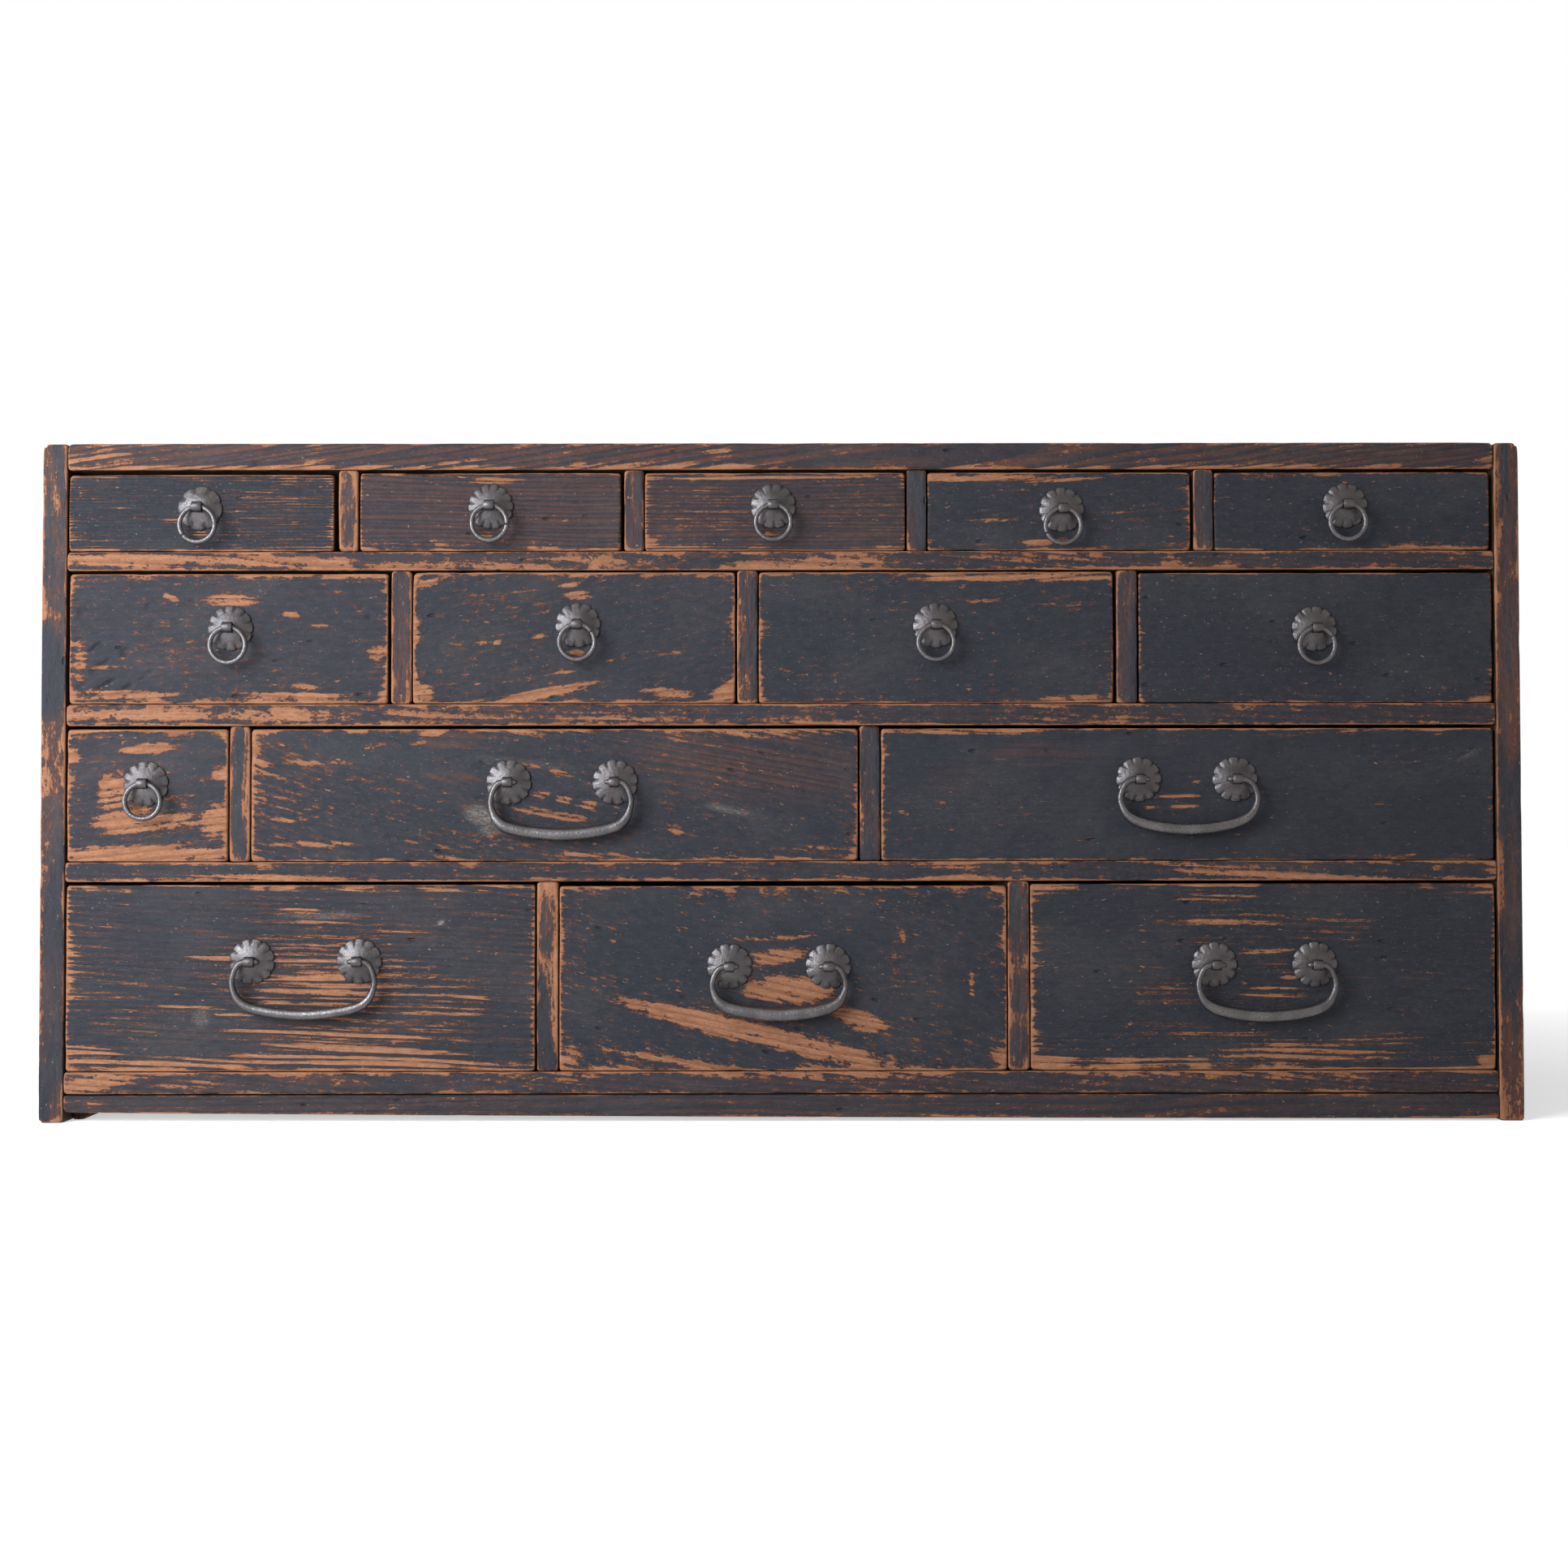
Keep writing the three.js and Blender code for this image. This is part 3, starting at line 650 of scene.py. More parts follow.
DRAWER_LOOKS = {
    "1_1": dict(
        ragged=0.1, fresh=0.56, tone=0.0, slope=0.0, fineness=2.4, pith=(2.2, 40), taper=0.0,
        edges=dict(left=0.5, right=0.6, bottom=0.75, top=0.5),
        worn=[Mark(214, 641, 20, 3, amount=0.75), Mark(246, 660, 9, 5, amount=0.8),
              Mark(330, 640, 60, 40, amount=0.2), Mark(140, 612, 45, 16, amount=0.15)]),
    "1_2": dict(
        ragged=0.5, fresh=0.62, tone=0.8, slope=-0.03, pith=(1.2, 16), taper=0.03,
        fineness=1.5,
        edges=dict(left=0.6, right=0.45, bottom=0.85, top=0.6),
        worn=[Mark(612, 592, 36, 4), Mark(520, 670, 60, 4, amount=0.6),
              Mark(690, 625, 60, 30, amount=0.08),
              Mark(600, 660, 8, 5, amount=0.6)]),
    "1_3": dict(
        ragged=0.4, fresh=0.56, tone=0.6, slope=0.0, fineness=1.7, pith=(1.9, 30), taper=0.0,
        edges=dict(left=0.55, right=0.5, bottom=0.75, top=0.75),
        worn=[Mark(935, 588, 95, 3, amount=0.8), Mark(801, 668, 11, 6, amount=0.9),
              Mark(880, 640, 70, 35, amount=0.2), Mark(1050, 630, 55, 40, amount=0.22),
              Mark(948, 660, 8, 5, amount=0.6)]),
    "1_4": dict(
        ragged=0.5, fresh=0.66, tone=0.0, slope=0.03, pith=(0.8, 26), taper=0.05,
        edges=dict(left=0.5, right=0.6, bottom=0.7, top=0.85),
        worn=[Mark(1245, 590, 98, 4, amount=1.05), Mark(1282, 669, 24, 4),
              Mark(1215, 640, 34, 4, amount=0.45), Mark(1400, 632, 45, 18, amount=0.28),
              Mark(1310, 664, 8, 4, amount=0.6)]),
    "1_5": dict(
        ragged=0.5, fresh=0.72, tone=-0.1, slope=0.0, pith=(1.6, 40), taper=0.0,
        edges=dict(left=0.45, right=0.5, bottom=0.6, top=0.6),
        worn=[Mark(1765, 675, 62, 3, amount=0.7), Mark(1560, 590, 40, 3, amount=0.4)]),
    "2_1": dict(
        ragged=0.85, fresh=0.62, tone=0.1, slope=0.02, pith=(-0.9, 30), taper=0.03,
        edges=dict(left=0.9, right=1.0, bottom=1.0, top=0.9),
        worn=[Mark(286, 739, 30, 8), Mark(210, 736, 9, 4, 0.3), Mark(358, 757, 12, 4, 0.2),
              Mark(396, 770, 14, 3, amount=0.75), Mark(440, 750, 10, 4, amount=0.7),
              Mark(463, 805, 11, 9, amount=0.9), Mark(98, 812, 9, 26, amount=0.75),
              Mark(128, 822, 22, 3, amount=0.6), Mark(160, 856, 60, 6, amount=0.9),
              Mark(360, 857, 60, 4, amount=0.8), Mark(282, 796, 8, 5, amount=0.6),
              Mark(375, 845, 14, 4, 0.1, amount=0.7), Mark(200, 800, 50, 30, amount=0.14)],
        steps={X: 1.4 * MM, Y: 4 * MM, Z: 0.9 * MM},
        dented=[Mark(100, 756, 5, 6, -0.3, 0.7), Mark(117, 798, 9, 4, -0.7),
                Mark(123, 821, 11, 4, -0.6), Mark(154, 804, 5, 6, -0.3, 0.8),
                Mark(127, 846, 13, 4, -0.6), Mark(156, 848, 9, 4, -0.6, 0.9),
                Mark(102, 844, 8, 4, -0.6, 0.7), Mark(96, 790, 6, 4, -0.6, 0.6),
                Mark(183, 747, 4, 4, -0.5, 0.6), Mark(180, 832, 8, 4, -0.5, 0.6),
                Mark(455, 760, 4, 4, 0, 0.6)]),
    "2_2": dict(
        ragged=0.8, fresh=0.63, tone=0.05, slope=0.13, pith=(-1.1, 22), taper=0.02,
        edges=dict(left=1.3, right=0.95, bottom=1.05, top=0.95),
        worn=[Mark(678, 852, 62, 6, -0.2, 1.1), Mark(893, 852, 16, 10, -0.4, 0.95),
              Mark(712, 733, 16, 5), Mark(700, 721, 11, 3, amount=0.9),
              Mark(711, 805, 10, 4), Mark(691, 827, 15, 3, amount=0.95),
              Mark(594, 791, 8, 3), Mark(611, 791, 7, 3, amount=0.9),
              Mark(563, 794, 7, 2, amount=0.8), Mark(663, 783, 10, 3, amount=0.7),
              Mark(520, 850, 14, 9, 0.2, 0.9), Mark(528, 718, 12, 5, -0.3, 0.8),
              Mark(758, 812, 16, 3, -0.15, 0.7), Mark(825, 804, 18, 3, -0.1, 0.6),
              Mark(820, 852, 30, 6, 0.1, 0.8), Mark(630, 740, 70, 12, amount=0.2)]),
    "2_3": dict(
        ragged=0.7, fresh=0.68, tone=0.0, slope=0.03, pith=(1.4, 26), taper=0.04,
        edges=dict(left=0.85, right=0.65, bottom=0.7, top=0.9),
        worn=[Mark(1245, 712, 128, 4, amount=0.95), Mark(1200, 739, 45, 5, amount=0.5),
              Mark(1310, 745, 40, 9, 0.1, 0.4), Mark(975, 828, 15, 2, 0.3, 0.8),
              Mark(1320, 860, 40, 4, amount=0.5), Mark(1130, 838, 40, 3, 0.1, 0.45)]),
    "2_4": dict(
        ragged=0.5, fresh=0.76, tone=-0.1, slope=0.0, pith=(1.9, 36), taper=0.0,
        edges=dict(left=0.5, right=0.5, bottom=0.55, top=0.6),
        worn=[Mark(1825, 858, 16, 6, amount=0.7), Mark(1710, 790, 30, 8, amount=0.2)]),
    "3_1": dict(
        ragged=0.8, fresh=0.6, tone=0.15, slope=0.06, pith=(0.2, 18), taper=0.08,
        edges=dict(left=1.0, right=1.25, bottom=1.2, top=1.0),
        worn=[Mark(178, 1014, 62, 15, -0.02, 1.05), Mark(140, 975, 20, 26, amount=0.95),
              Mark(181, 922, 36, 6, -0.08), Mark(180, 1050, 96, 8, amount=1.0),
              Mark(262, 1010, 18, 18, -0.3, 0.85), Mark(270, 950, 12, 10, amount=0.8),
              Mark(90, 930, 9, 12, amount=0.85), Mark(174, 994, 14, 12, amount=0.9),
              Mark(225, 985, 22, 8, amount=0.5)]),
    "3_2": dict(
        ragged=0.65, fresh=0.62, tone=0.03, slope=-0.17, pith=(0.1, 14), taper=-0.09,
        edges=dict(left=1.5, right=0.75, bottom=0.95, top=0.9),
        tinted=[Mark(915, 935, 130, 45, 0.12, 0.75), Mark(560, 912, 45, 9, 0, 0.8),
                Mark(560, 958, 35, 6, 0.1, 0.7)],
        scuffed=[Mark(592, 1005, 16, 11, 0.2, 0.5), Mark(604, 1022, 12, 8, 0, 0.35),
                 Mark(900, 998, 26, 4, 0.2, 0.3), Mark(640, 940, 60, 5, 0.1, 0.1)],
        worn=[Mark(690, 953, 17, 4, 0.12), Mark(666, 978, 13, 4), Mark(695, 985, 11, 4, 0.1),
              Mark(725, 992, 12, 5, 0.1), Mark(680, 1003, 54, 5, 0.17),
              Mark(650, 943, 20, 4, 0.15, 0.75), Mark(870, 950, 95, 42, 0.1, 0.16),
              Mark(390, 940, 62, 3, amount=0.62), Mark(385, 1040, 60, 4, amount=0.75),
              Mark(350, 1011, 26, 3, amount=0.8), Mark(715, 1053, 45, 3, amount=0.85),
              Mark(528, 907, 22, 7, -0.4, 0.85), Mark(470, 915, 30, 7, amount=0.35),
              Mark(830, 1022, 12, 7, 0.4, 0.85), Mark(950, 905, 80, 6, amount=0.45),
              Mark(322, 970, 8, 50, amount=0.4), Mark(1000, 1045, 40, 4, amount=0.5),
              Mark(400, 970, 100, 60, amount=0.2), Mark(640, 1035, 140, 14, amount=0.28)]),
    "3_3": dict(
        ragged=0.6, fresh=0.74, tone=-0.05, slope=0.0, pith=(1.2, 22), taper=0.03,
        edges=dict(left=1.3, right=0.5, bottom=0.7, top=0.8),
        tinted=[Mark(1280, 928, 60, 14, 0, 0.6), Mark(1180, 960, 40, 20, 0, 0.25)],
        scuffed=[Mark(1200, 990, 90, 30, 0, 0.04), Mark(1810, 930, 14, 3, -0.5, 0.2)],
        worn=[Mark(1200, 902, 112, 3, amount=0.75), Mark(1450, 981, 29, 3, amount=0.95),
              Mark(1459, 993, 17, 4, amount=0.95), Mark(1417, 995, 8, 3, amount=0.9),
              Mark(1474, 964, 6, 3, amount=0.85), Mark(1114, 1002, 8, 3, 0.3, 0.85),
              Mark(1163, 990, 7, 2, amount=0.8), Mark(1255, 1004, 18, 2, amount=0.6),
              Mark(1270, 935, 60, 12, -0.05, 0.3), Mark(1340, 1035, 14, 3, amount=0.7),
              Mark(1700, 990, 8, 3, amount=0.7)]),
    "4_1": dict(
        ragged=0.12, fresh=0.52, tone=0.1, slope=-0.035, pith=(-1.15, 20), taper=0.015,
        scuffed=[Mark(247, 1253, 9, 12, 0, 0.25), Mark(400, 1128, 45, 4, 0, 0.3),
                 Mark(544, 1137, 3, 3, 0, 1)],
        edges=dict(left=1.3, right=0.9, bottom=1.2, top=0.8),
        worn=[Mark(385, 1205, 120, 80, 0.03, 0.42), Mark(372, 1150, 60, 5, amount=0.55),
              Mark(372, 1167, 34, 3, amount=0.85), Mark(374, 1187, 40, 3, amount=0.9),
              Mark(380, 1196, 44, 3, amount=0.95), Mark(383, 1206, 50, 4),
              Mark(380, 1220, 64, 5), Mark(342, 1234, 24, 3, amount=0.9),
              Mark(420, 1276, 140, 5, 0.05, 1.0), Mark(435, 1291, 135, 5, 0.06, 1.0),
              Mark(440, 1307, 170, 6, 0.03, 1.05), Mark(110, 1302, 34, 12, 0.1, 0.95),
              Mark(250, 1310, 120, 6, amount=0.75), Mark(370, 1122, 30, 3, amount=0.85),
              Mark(390, 1135, 26, 3, amount=0.85), Mark(480, 1150, 60, 8, amount=0.35),
              Mark(260, 1180, 34, 4, amount=0.7), Mark(230, 1243, 70, 4, amount=0.55),
              Mark(150, 1260, 40, 8, amount=0.4), Mark(540, 1240, 60, 30, amount=0.32),
              Mark(294, 1252, 26, 4, 0.05, 0.95)]),
    "4_2": dict(
        ragged=0.9, fresh=0.62, tone=0.0, slope=-0.2, pith=(0.35, 13), taper=0.06,
        edges=dict(left=1.05, right=1.15, bottom=1.0, top=0.8),
        worn=[Mark(957, 1156, 54, 3, -0.05, 0.95), Mark(960, 1178, 36, 10, -0.1),
              Mark(973, 1220, 54, 16, 0.02, 1.1), Mark(925, 1272, 168, 13, 0.24, 1.15),
              Mark(1058, 1257, 34, 12, 0.3, 1.05), Mark(1197, 1212, 3, 17, amount=0.9),
              Mark(830, 1306, 90, 4, 0.15, 0.85), Mark(1230, 1300, 12, 10, amount=0.5),
              Mark(1100, 1180, 9, 4, amount=0.8), Mark(1112, 1155, 4, 10, amount=0.6),
              Mark(735, 1210, 30, 12, amount=0.3), Mark(980, 1100, 90, 6, amount=0.35),
              Mark(1232, 1096, 12, 8, amount=0.7), Mark(705, 1300, 12, 12, amount=0.7)]),
    "4_3": dict(
        ragged=0.25, fresh=0.66, tone=0.0, slope=-0.01, pith=(-0.2, 12), taper=0.05,
        edges=dict(left=1.3, right=0.9, bottom=1.2, top=0.75),
        worn=[Mark(1561, 1173, 32, 4, amount=0.8), Mark(1562, 1190, 29, 5, amount=0.8),
              Mark(1590, 1203, 11, 4, amount=0.8), Mark(1567, 1218, 34, 4, amount=0.85),
              Mark(1562, 1228, 50, 4, amount=0.7), Mark(1600, 1297, 110, 15, amount=0.8),
              Mark(1500, 1275, 60, 5, amount=0.7), Mark(1294, 1309, 24, 9, -0.1, 1.0),
              Mark(1540, 1132, 110, 8, amount=0.55), Mark(1490, 1105, 70, 4, amount=0.6),
              Mark(1660, 1140, 40, 16, amount=0.45), Mark(1440, 1215, 40, 8, amount=0.5),
              Mark(1480, 1200, 130, 95, amount=0.16), Mark(1832, 1308, 12, 9, amount=0.9),
              Mark(1700, 1280, 60, 8, amount=0.6), Mark(1460, 1308, 110, 6, amount=0.7)]),
}

SHELF_LOOKS = {
    "shelf_upper": dict(
        ragged=0.8, fresh=0.56, tone=0.35, slope=0.0, taper=0.05,
        edges=dict(bottom=0.8, top=0.6),
        worn=[Mark(165, 690, 85, 7, amount=0.9), Mark(330, 692, 110, 6, amount=0.75),
              Mark(420, 698, 60, 3, amount=0.6), Mark(560, 696, 110, 5, amount=0.5),
              Mark(760, 690, 110, 6, amount=0.55), Mark(1010, 694, 100, 6, amount=0.62),
              Mark(1250, 688, 90, 4, amount=0.4), Mark(1400, 700, 120, 3, amount=0.3)]),
    "shelf_middle": dict(
        ragged=0.75, fresh=0.54, tone=0.3, slope=0.0, taper=0.04,
        edges=dict(bottom=0.75, top=0.65),
        worn=[Mark(170, 882, 100, 9, amount=0.8), Mark(370, 881, 110, 8, amount=0.6),
              Mark(560, 882, 100, 8, amount=0.5), Mark(760, 884, 100, 7, amount=0.45),
              Mark(1000, 886, 90, 6, amount=0.35), Mark(1350, 882, 150, 7, amount=0.25)]),
    "shelf_lower": dict(
        ragged=0.6, fresh=0.6, tone=0.15, slope=0.02, taper=0.03,
        edges=dict(bottom=0.7, top=0.6),
        worn=[Mark(1500, 1072, 75, 6, 0.08, 0.72), Mark(1600, 1078, 90, 6, 0.06, 0.65),
              Mark(330, 1080, 130, 4, amount=0.6), Mark(1180, 1082, 60, 3, amount=0.5),
              Mark(1150, 1066, 60, 3, amount=0.4)]),
    "bottom_board": dict(
        ragged=0.7, fresh=0.56, tone=0.4, slope=0.0, taper=0.1,
        edges=dict(bottom=0.5, top=0.75),
        worn=[Mark(125, 1334, 48, 8, -0.12, 0.85), Mark(240, 1336, 60, 5, -0.05, 0.5),
              Mark(1000, 1326, 120, 4, amount=0.45), Mark(1500, 1326, 150, 4, 0.02, 0.4),
              Mark(700, 1327, 40, 4, amount=0.5)]),
}

TOP_LOOK = dict(
    fresh=0.5, tone=0.95, ragged=0.3, edges=dict(bottom=0.95, top=0.55, other=0.6),
    worn=[Mark(120, 566, 48, 8, -0.1, 0.75), Mark(350, 576, 240, 3, amount=0.6),
          Mark(820, 574, 120, 4, 0.02, 0.55), Mark(560, 570, 60, 5, -0.1, 0.4),
          Mark(880, 556, 20, 4, amount=0.6), Mark(1500, 574, 120, 3, amount=0.45)])
APRON_LOOK = dict(
    fresh=0.66, tone=0.5, edges=dict(bottom=0.45, top=0.3, left=0.6, right=0.6, other=0.4),
    worn=[Mark(1822, 1374, 26, 5, amount=0.8), Mark(112, 1366, 12, 5, amount=0.5)])
SIDE_LOOKS = {
    "side_left": dict(
        fresh=0.58, tone=0.45, edges=dict(left=0.7, right=0.75, top=0.6, bottom=0.7, other=0.6),
        worn=[Mark(70, 620, 5, 40, amount=0.35), Mark(58, 960, 5, 60, amount=0.35)]),
    "side_right": dict(
        fresh=0.52, tone=0.95, edges=dict(left=0.8, right=0.5, top=0.5, bottom=0.7, other=0.5),
        worn=[Mark(1849, 1080, 6, 52, amount=0.75), Mark(1856, 1355, 12, 24, amount=0.55),
              Mark(1848, 620, 6, 46, amount=0.6), Mark(1850, 980, 5, 40, amount=0.4)]),
}
BLOCK_LOOK = dict(fresh=0.7, edges=dict(other=0.7))
DIVIDER_LOOK = dict(
    fresh=0.6, tone=0.5, ragged=0.4, edges=dict(left=0.6, right=0.6, top=0.3, bottom=0.5))

# How much less whole the paint of some dividers is, by their shelf and place
WORN_DIVIDERS = {
    ("shelf_upper", 0): 0.32,
    ("shelf_middle", 1): 0.2,
    ("shelf_lower", 0): 0.38,
    ("bottom_board", 0): 0.42,
    ("bottom_board", 1): 0.4,
}


def dress(board, look):
    """Gives a board the looks of its table."""
    for name, value in look.items():
        setattr(board, name, value)
    return board


# Finishes

BLACK = (0, 0, 0)
WHITE = (1, 1, 1)
# Sooty black, which also paints the shade in the creases of the plates
SOOT_AND_SHADE = (0.008, 0.007, 0.007)

# Depth of the relief of each finish, in metres
PAINT_RELIEF = 0.00052
RAW_RELIEF = 0.00012
IRON_RELIEF = 0.00035

# Where most values of the noise lie, and how far it shifts the growth rings, in rings
NOISE_SPREAD = (0.33, 0.67)
RING_DRIFT = 3.2

# Noise that painted and raw wood share: its rate along each axis, its detail and its roughness
FIBRE = ((0.05, 1.7, 1.7), 4, 0.7)
CLOUD = ((0.014, 0.022, 0.022), 3, 0.55)


class Wiring:
    """Wires a node tree. A value may be a number, a colour or another node's output."""

    def __init__(self, tree):
        self.tree = tree

    def feed(self, socket, value):
        """Links an output to a socket, or writes a value on it."""
        if isinstance(value, bpy.types.NodeSocket):
            self.tree.links.new(value, socket)
        elif socket.type == "RGBA":
            socket.default_value = (*value, 1)
        else:
            socket.default_value = value

    def node(self, kind, values=(), **settings):
        """A new node with its settings and the values of its inputs."""
        made = self.tree.nodes.new("ShaderNode" + kind)
        for name, value in settings.items():
            setattr(made, name, value)
        for name, value in dict(values).items():
            self.feed(made.inputs[name], value)
        return made

    def sums(self, operation, *values):
        """One step of arithmetic."""
        return self.node("Math", dict(enumerate(values)), operation=operation).outputs[0]

    def field(self, name, output="Fac"):
        """A field of the mesh."""
        return self.node("Attribute", attribute_name=name).outputs[output]

    def scaled(self, place, scales):
        """A place with its own rate along each axis."""
        values = {0: place, 1: scales}
        return self.node("VectorMath", values, operation="MULTIPLY").outputs[0]

    def noise(self, place, scales, detail=3, roughness=0.55):
        """Noise from 0 to 1 at a place in millimetres, with its rate along each axis."""
        return self.node("TexNoise", {
            "Vector": self.scaled(place, scales), "Scale": 1, "Detail": detail,
            "Roughness": roughness, "Distortion": 0}).outputs["Fac"]

    def line(self, value, low, high, start=0, end=1, shape="LINEAR"):
        """From start to end while a value goes from low to high."""
        return self.node("MapRange", {
            "Value": value, "From Min": low, "From Max": high, "To Min": start, "To Max": end,
        }, interpolation_type=shape).outputs[0]

    def ramp(self, *spread):
        """The same as line, but smooth at both ends."""
        return self.line(*spread, shape="SMOOTHSTEP")

    def swing(self, noise):
        """Noise spread out to go from -1 to 1."""
        return self.line(noise, *NOISE_SPREAD, -1, 1)

    def mix(self, share, first, second):
        """A colour between two."""
        made = self.node("Mix", data_type="RGBA")
        for index, value in ((0, share), (6, first), (7, second)):
            self.feed(made.inputs[index], value)
        return made.outputs[2]

    def bump(self, height, distance):
        """Relief of a depth in metres."""
        return self.node("Bump", {"Height": height, "Strength": 1, "Distance": distance}).outputs[0]

    def finish(self, name, values):
        """Feeds the sockets of the tree's own shader of a name."""
        for socket, value in values.items():
            self.feed(self.tree.nodes[name].inputs[socket], value)


def material_wiring(name):
    """A new material's wiring."""
    material = bpy.data.materials.new(name)
    material.use_nodes = True
    return Wiring(material.node_tree)


def wood_rings(w, place):
    """The hard late wood of each growth ring, from 0 to 1."""
    across = w.node("SeparateXYZ", {"Vector": place}).outputs["Y"]
    drift = w.noise(place, (0.004, 0.06, 0.02), detail=2)
    turns = w.sums("DIVIDE", across, sizes().growth_ring / MM)
    phase = w.sums("FRACT", w.sums("MULTIPLY_ADD", drift, RING_DRIFT, turns))
    return w.sums("MULTIPLY", w.ramp(phase, 0.35, 0.86), w.ramp(phase, 0.9, 1.0, 1, 0))


def raw_wood(w, late, fibre, cloud):
    """Colour of the wood that was never painted."""
    c = colours()
    raw = w.mix(w.sums("MULTIPLY", late, 0.75), c.raw, c.raw_late)
    raw = w.mix(w.ramp(fibre, 0.35, 0.75, 0, 0.45), raw, c.raw_late)
    return w.mix(w.ramp(cloud, 0.4, 0.7, 0, 0.35), raw, c.raw_late)


def raw_finish(name):
    """Raw wood in growth rings and fibres."""
    w = material_wiring(name)
    grain = w.field("grain", "Vector")
    late = wood_rings(w, grain)
    fibre = w.noise(grain, *FIBRE)
    cloud = w.noise(w.field("place", "Vector"), *CLOUD)
    height = w.sums("MULTIPLY_ADD", fibre, 0.6, w.sums("MULTIPLY", late, 0.5))
    w.finish("Principled BSDF", {
        "Base Color": raw_wood(w, late, fibre, cloud),
        "Roughness": w.line(fibre, 0.3, 0.7, 0.62, 0.8),
        "Normal": w.bump(height, RAW_RELIEF),
        "Specular IOR Level": 0.3})


def paint_level(w, wear, ragged, late, streak, flaked, fine, torn, chips):
    """Where the paint is gone, above 0: in stripes along the grain, or in ragged flakes."""
    stripes = w.sums("MULTIPLY_ADD", w.swing(torn), 0.6,
                     w.sums("MULTIPLY", w.swing(streak), 0.35))
    stripes = w.sums("MULTIPLY_ADD", late, -1.15, stripes)
    flakes = w.sums("MULTIPLY_ADD", w.swing(flaked), 0.95,
                    w.sums("MULTIPLY", w.swing(streak), 0.14))
    flakes = w.sums("MULTIPLY_ADD", late, -0.2, flakes)
    level = w.node("Mix", {0: ragged, 2: stripes, 3: flakes}, data_type="FLOAT").outputs[0]
    level = w.sums("ADD", level, wear)
    level = w.sums("MULTIPLY_ADD", w.swing(fine), 0.3, level)
    return w.sums("MULTIPLY_ADD", w.ramp(chips, 0.6, 0.68), 1, level)


def pocks(w, place):
    """Small dents here and there, 1 at the bottom of each."""
    values = {"Vector": w.scaled(place, (0.04, 0.11, 0.11)), "Scale": 1, "Randomness": 1}
    spot = w.node("TexVoronoi", values)
    chance = w.node("SeparateXYZ", {"Vector": spot.outputs["Color"]}).outputs[0]
    hollow = w.ramp(spot.outputs["Distance"], 0.02, 0.13, 1, 0)
    return w.sums("MULTIPLY", hollow, w.ramp(chance, 0.6, 0.65))


def paint_finish(name):
    """Wood in growth rings and fibres, under paint that wears off along the grain."""
    w = material_wiring(name)
    c = colours()
    grain, place = w.field("grain", "Vector"), w.field("place", "Vector")
    ragged = w.field("ragged")
    late = wood_rings(w, grain)
    fibre = w.noise(grain, *FIBRE)
    cloud = w.noise(place, *CLOUD)
    streak = w.noise(grain, (0.014, 0.26, 0.2), 4, 0.6)
    torn = w.noise(grain, (0.06, 0.8, 0.5), 6, 0.72)
    flaked = w.noise(place, (0.13, 0.3, 0.3), 7, 0.76)
    fine = w.noise(place, (0.5, 1.1, 0.9), 5, 0.75)
    chips = w.noise(place, (0.13, 0.32, 0.3), 6, 0.7)
    broad = w.noise(place, (0.05, 0.11, 0.11), 2)
    specks = w.noise(place, (0.4, 0.75, 0.75), 3, 0.6)
    level = paint_level(w, w.field("wear"), ragged, late, streak, flaked, fine, torn, chips)
    gone = w.ramp(level, 0.0, 0.06)
    thin = w.ramp(level, -0.36, 0.02)

    wood = w.mix(w.ramp(fibre, 0.36, 0.66, 0, 0.42), c.wood, c.wood_late)
    wood = w.mix(w.sums("MULTIPLY", late, 0.5), wood, c.wood_late)
    wood = w.mix(w.ramp(level, 0.0, 0.3, 0.6, 0.0), wood, c.stain)
    wood = w.mix(w.ramp(flaked, 0.42, 0.66, 0, 0.6), wood, c.wood_late)
    wood = w.mix(w.ramp(fine, 0.5, 0.72, 0, 0.6), wood, c.wood_late)

    brown = w.sums("MULTIPLY", w.field("tone"), w.ramp(streak, 0.34, 0.6, 0.25, 1))
    brown = w.sums("MULTIPLY", brown, w.line(late, 0, 1, 1, 0.1))
    scuff = w.sums("MULTIPLY", w.field("scuff"), w.ramp(fine, 0.38, 0.66, 0.1, 1))
    paint = w.mix(brown, c.paint, c.paint_warm)
    for share in (w.ramp(fine, 0.55, 0.78, 0, 0.2), w.ramp(cloud, 0.45, 0.7, 0, 0.025),
                  w.ramp(specks, 0.68, 0.76, 0, 0.75), scuff):
        paint = w.mix(share, paint, c.fleck)
    paint = w.mix(w.ramp(flaked, 0.32, 0.58, 0.3, 0), paint, BLACK)
    stained = w.sums("MULTIPLY", thin, w.ramp(torn, 0.35, 0.62, 0.15, 0.75))
    colour = w.mix(gone, w.mix(stained, paint, c.stain), wood)
    # Unpainted wood darkened towards black near the front: soiling and painted shade in the gaps
    # round the drawers
    gap_grime_and_shade = w.sums("MULTIPLY", w.field("gap_grime_and_shade"), 0.85)
    raw = w.mix(gap_grime_and_shade, raw_wood(w, late, fibre, cloud), BLACK)
    colour = w.mix(w.field("bare"), colour, raw)

    relief = w.sums("MULTIPLY", late, w.line(ragged, 0, 1, 0.4, 0))
    for height, amount in ((fibre, 0.6), (broad, 2.6), (w.sums("SUBTRACT", 1, gone), 1.1),
                           (flaked, 1.7), (pocks(w, place), -2.6)):
        relief = w.sums("MULTIPLY_ADD", height, amount, relief)
    rough = w.line(gone, 0, 1, 0.42, 0.75)
    rough = w.sums("MULTIPLY_ADD", w.line(fine, 0, 1, -1, 1), 0.34, rough)
    w.finish("Principled BSDF", {
        "Base Color": colour, "Roughness": rough, "Normal": w.bump(relief, PAINT_RELIEF),
        "Specular IOR Level": 0.15})


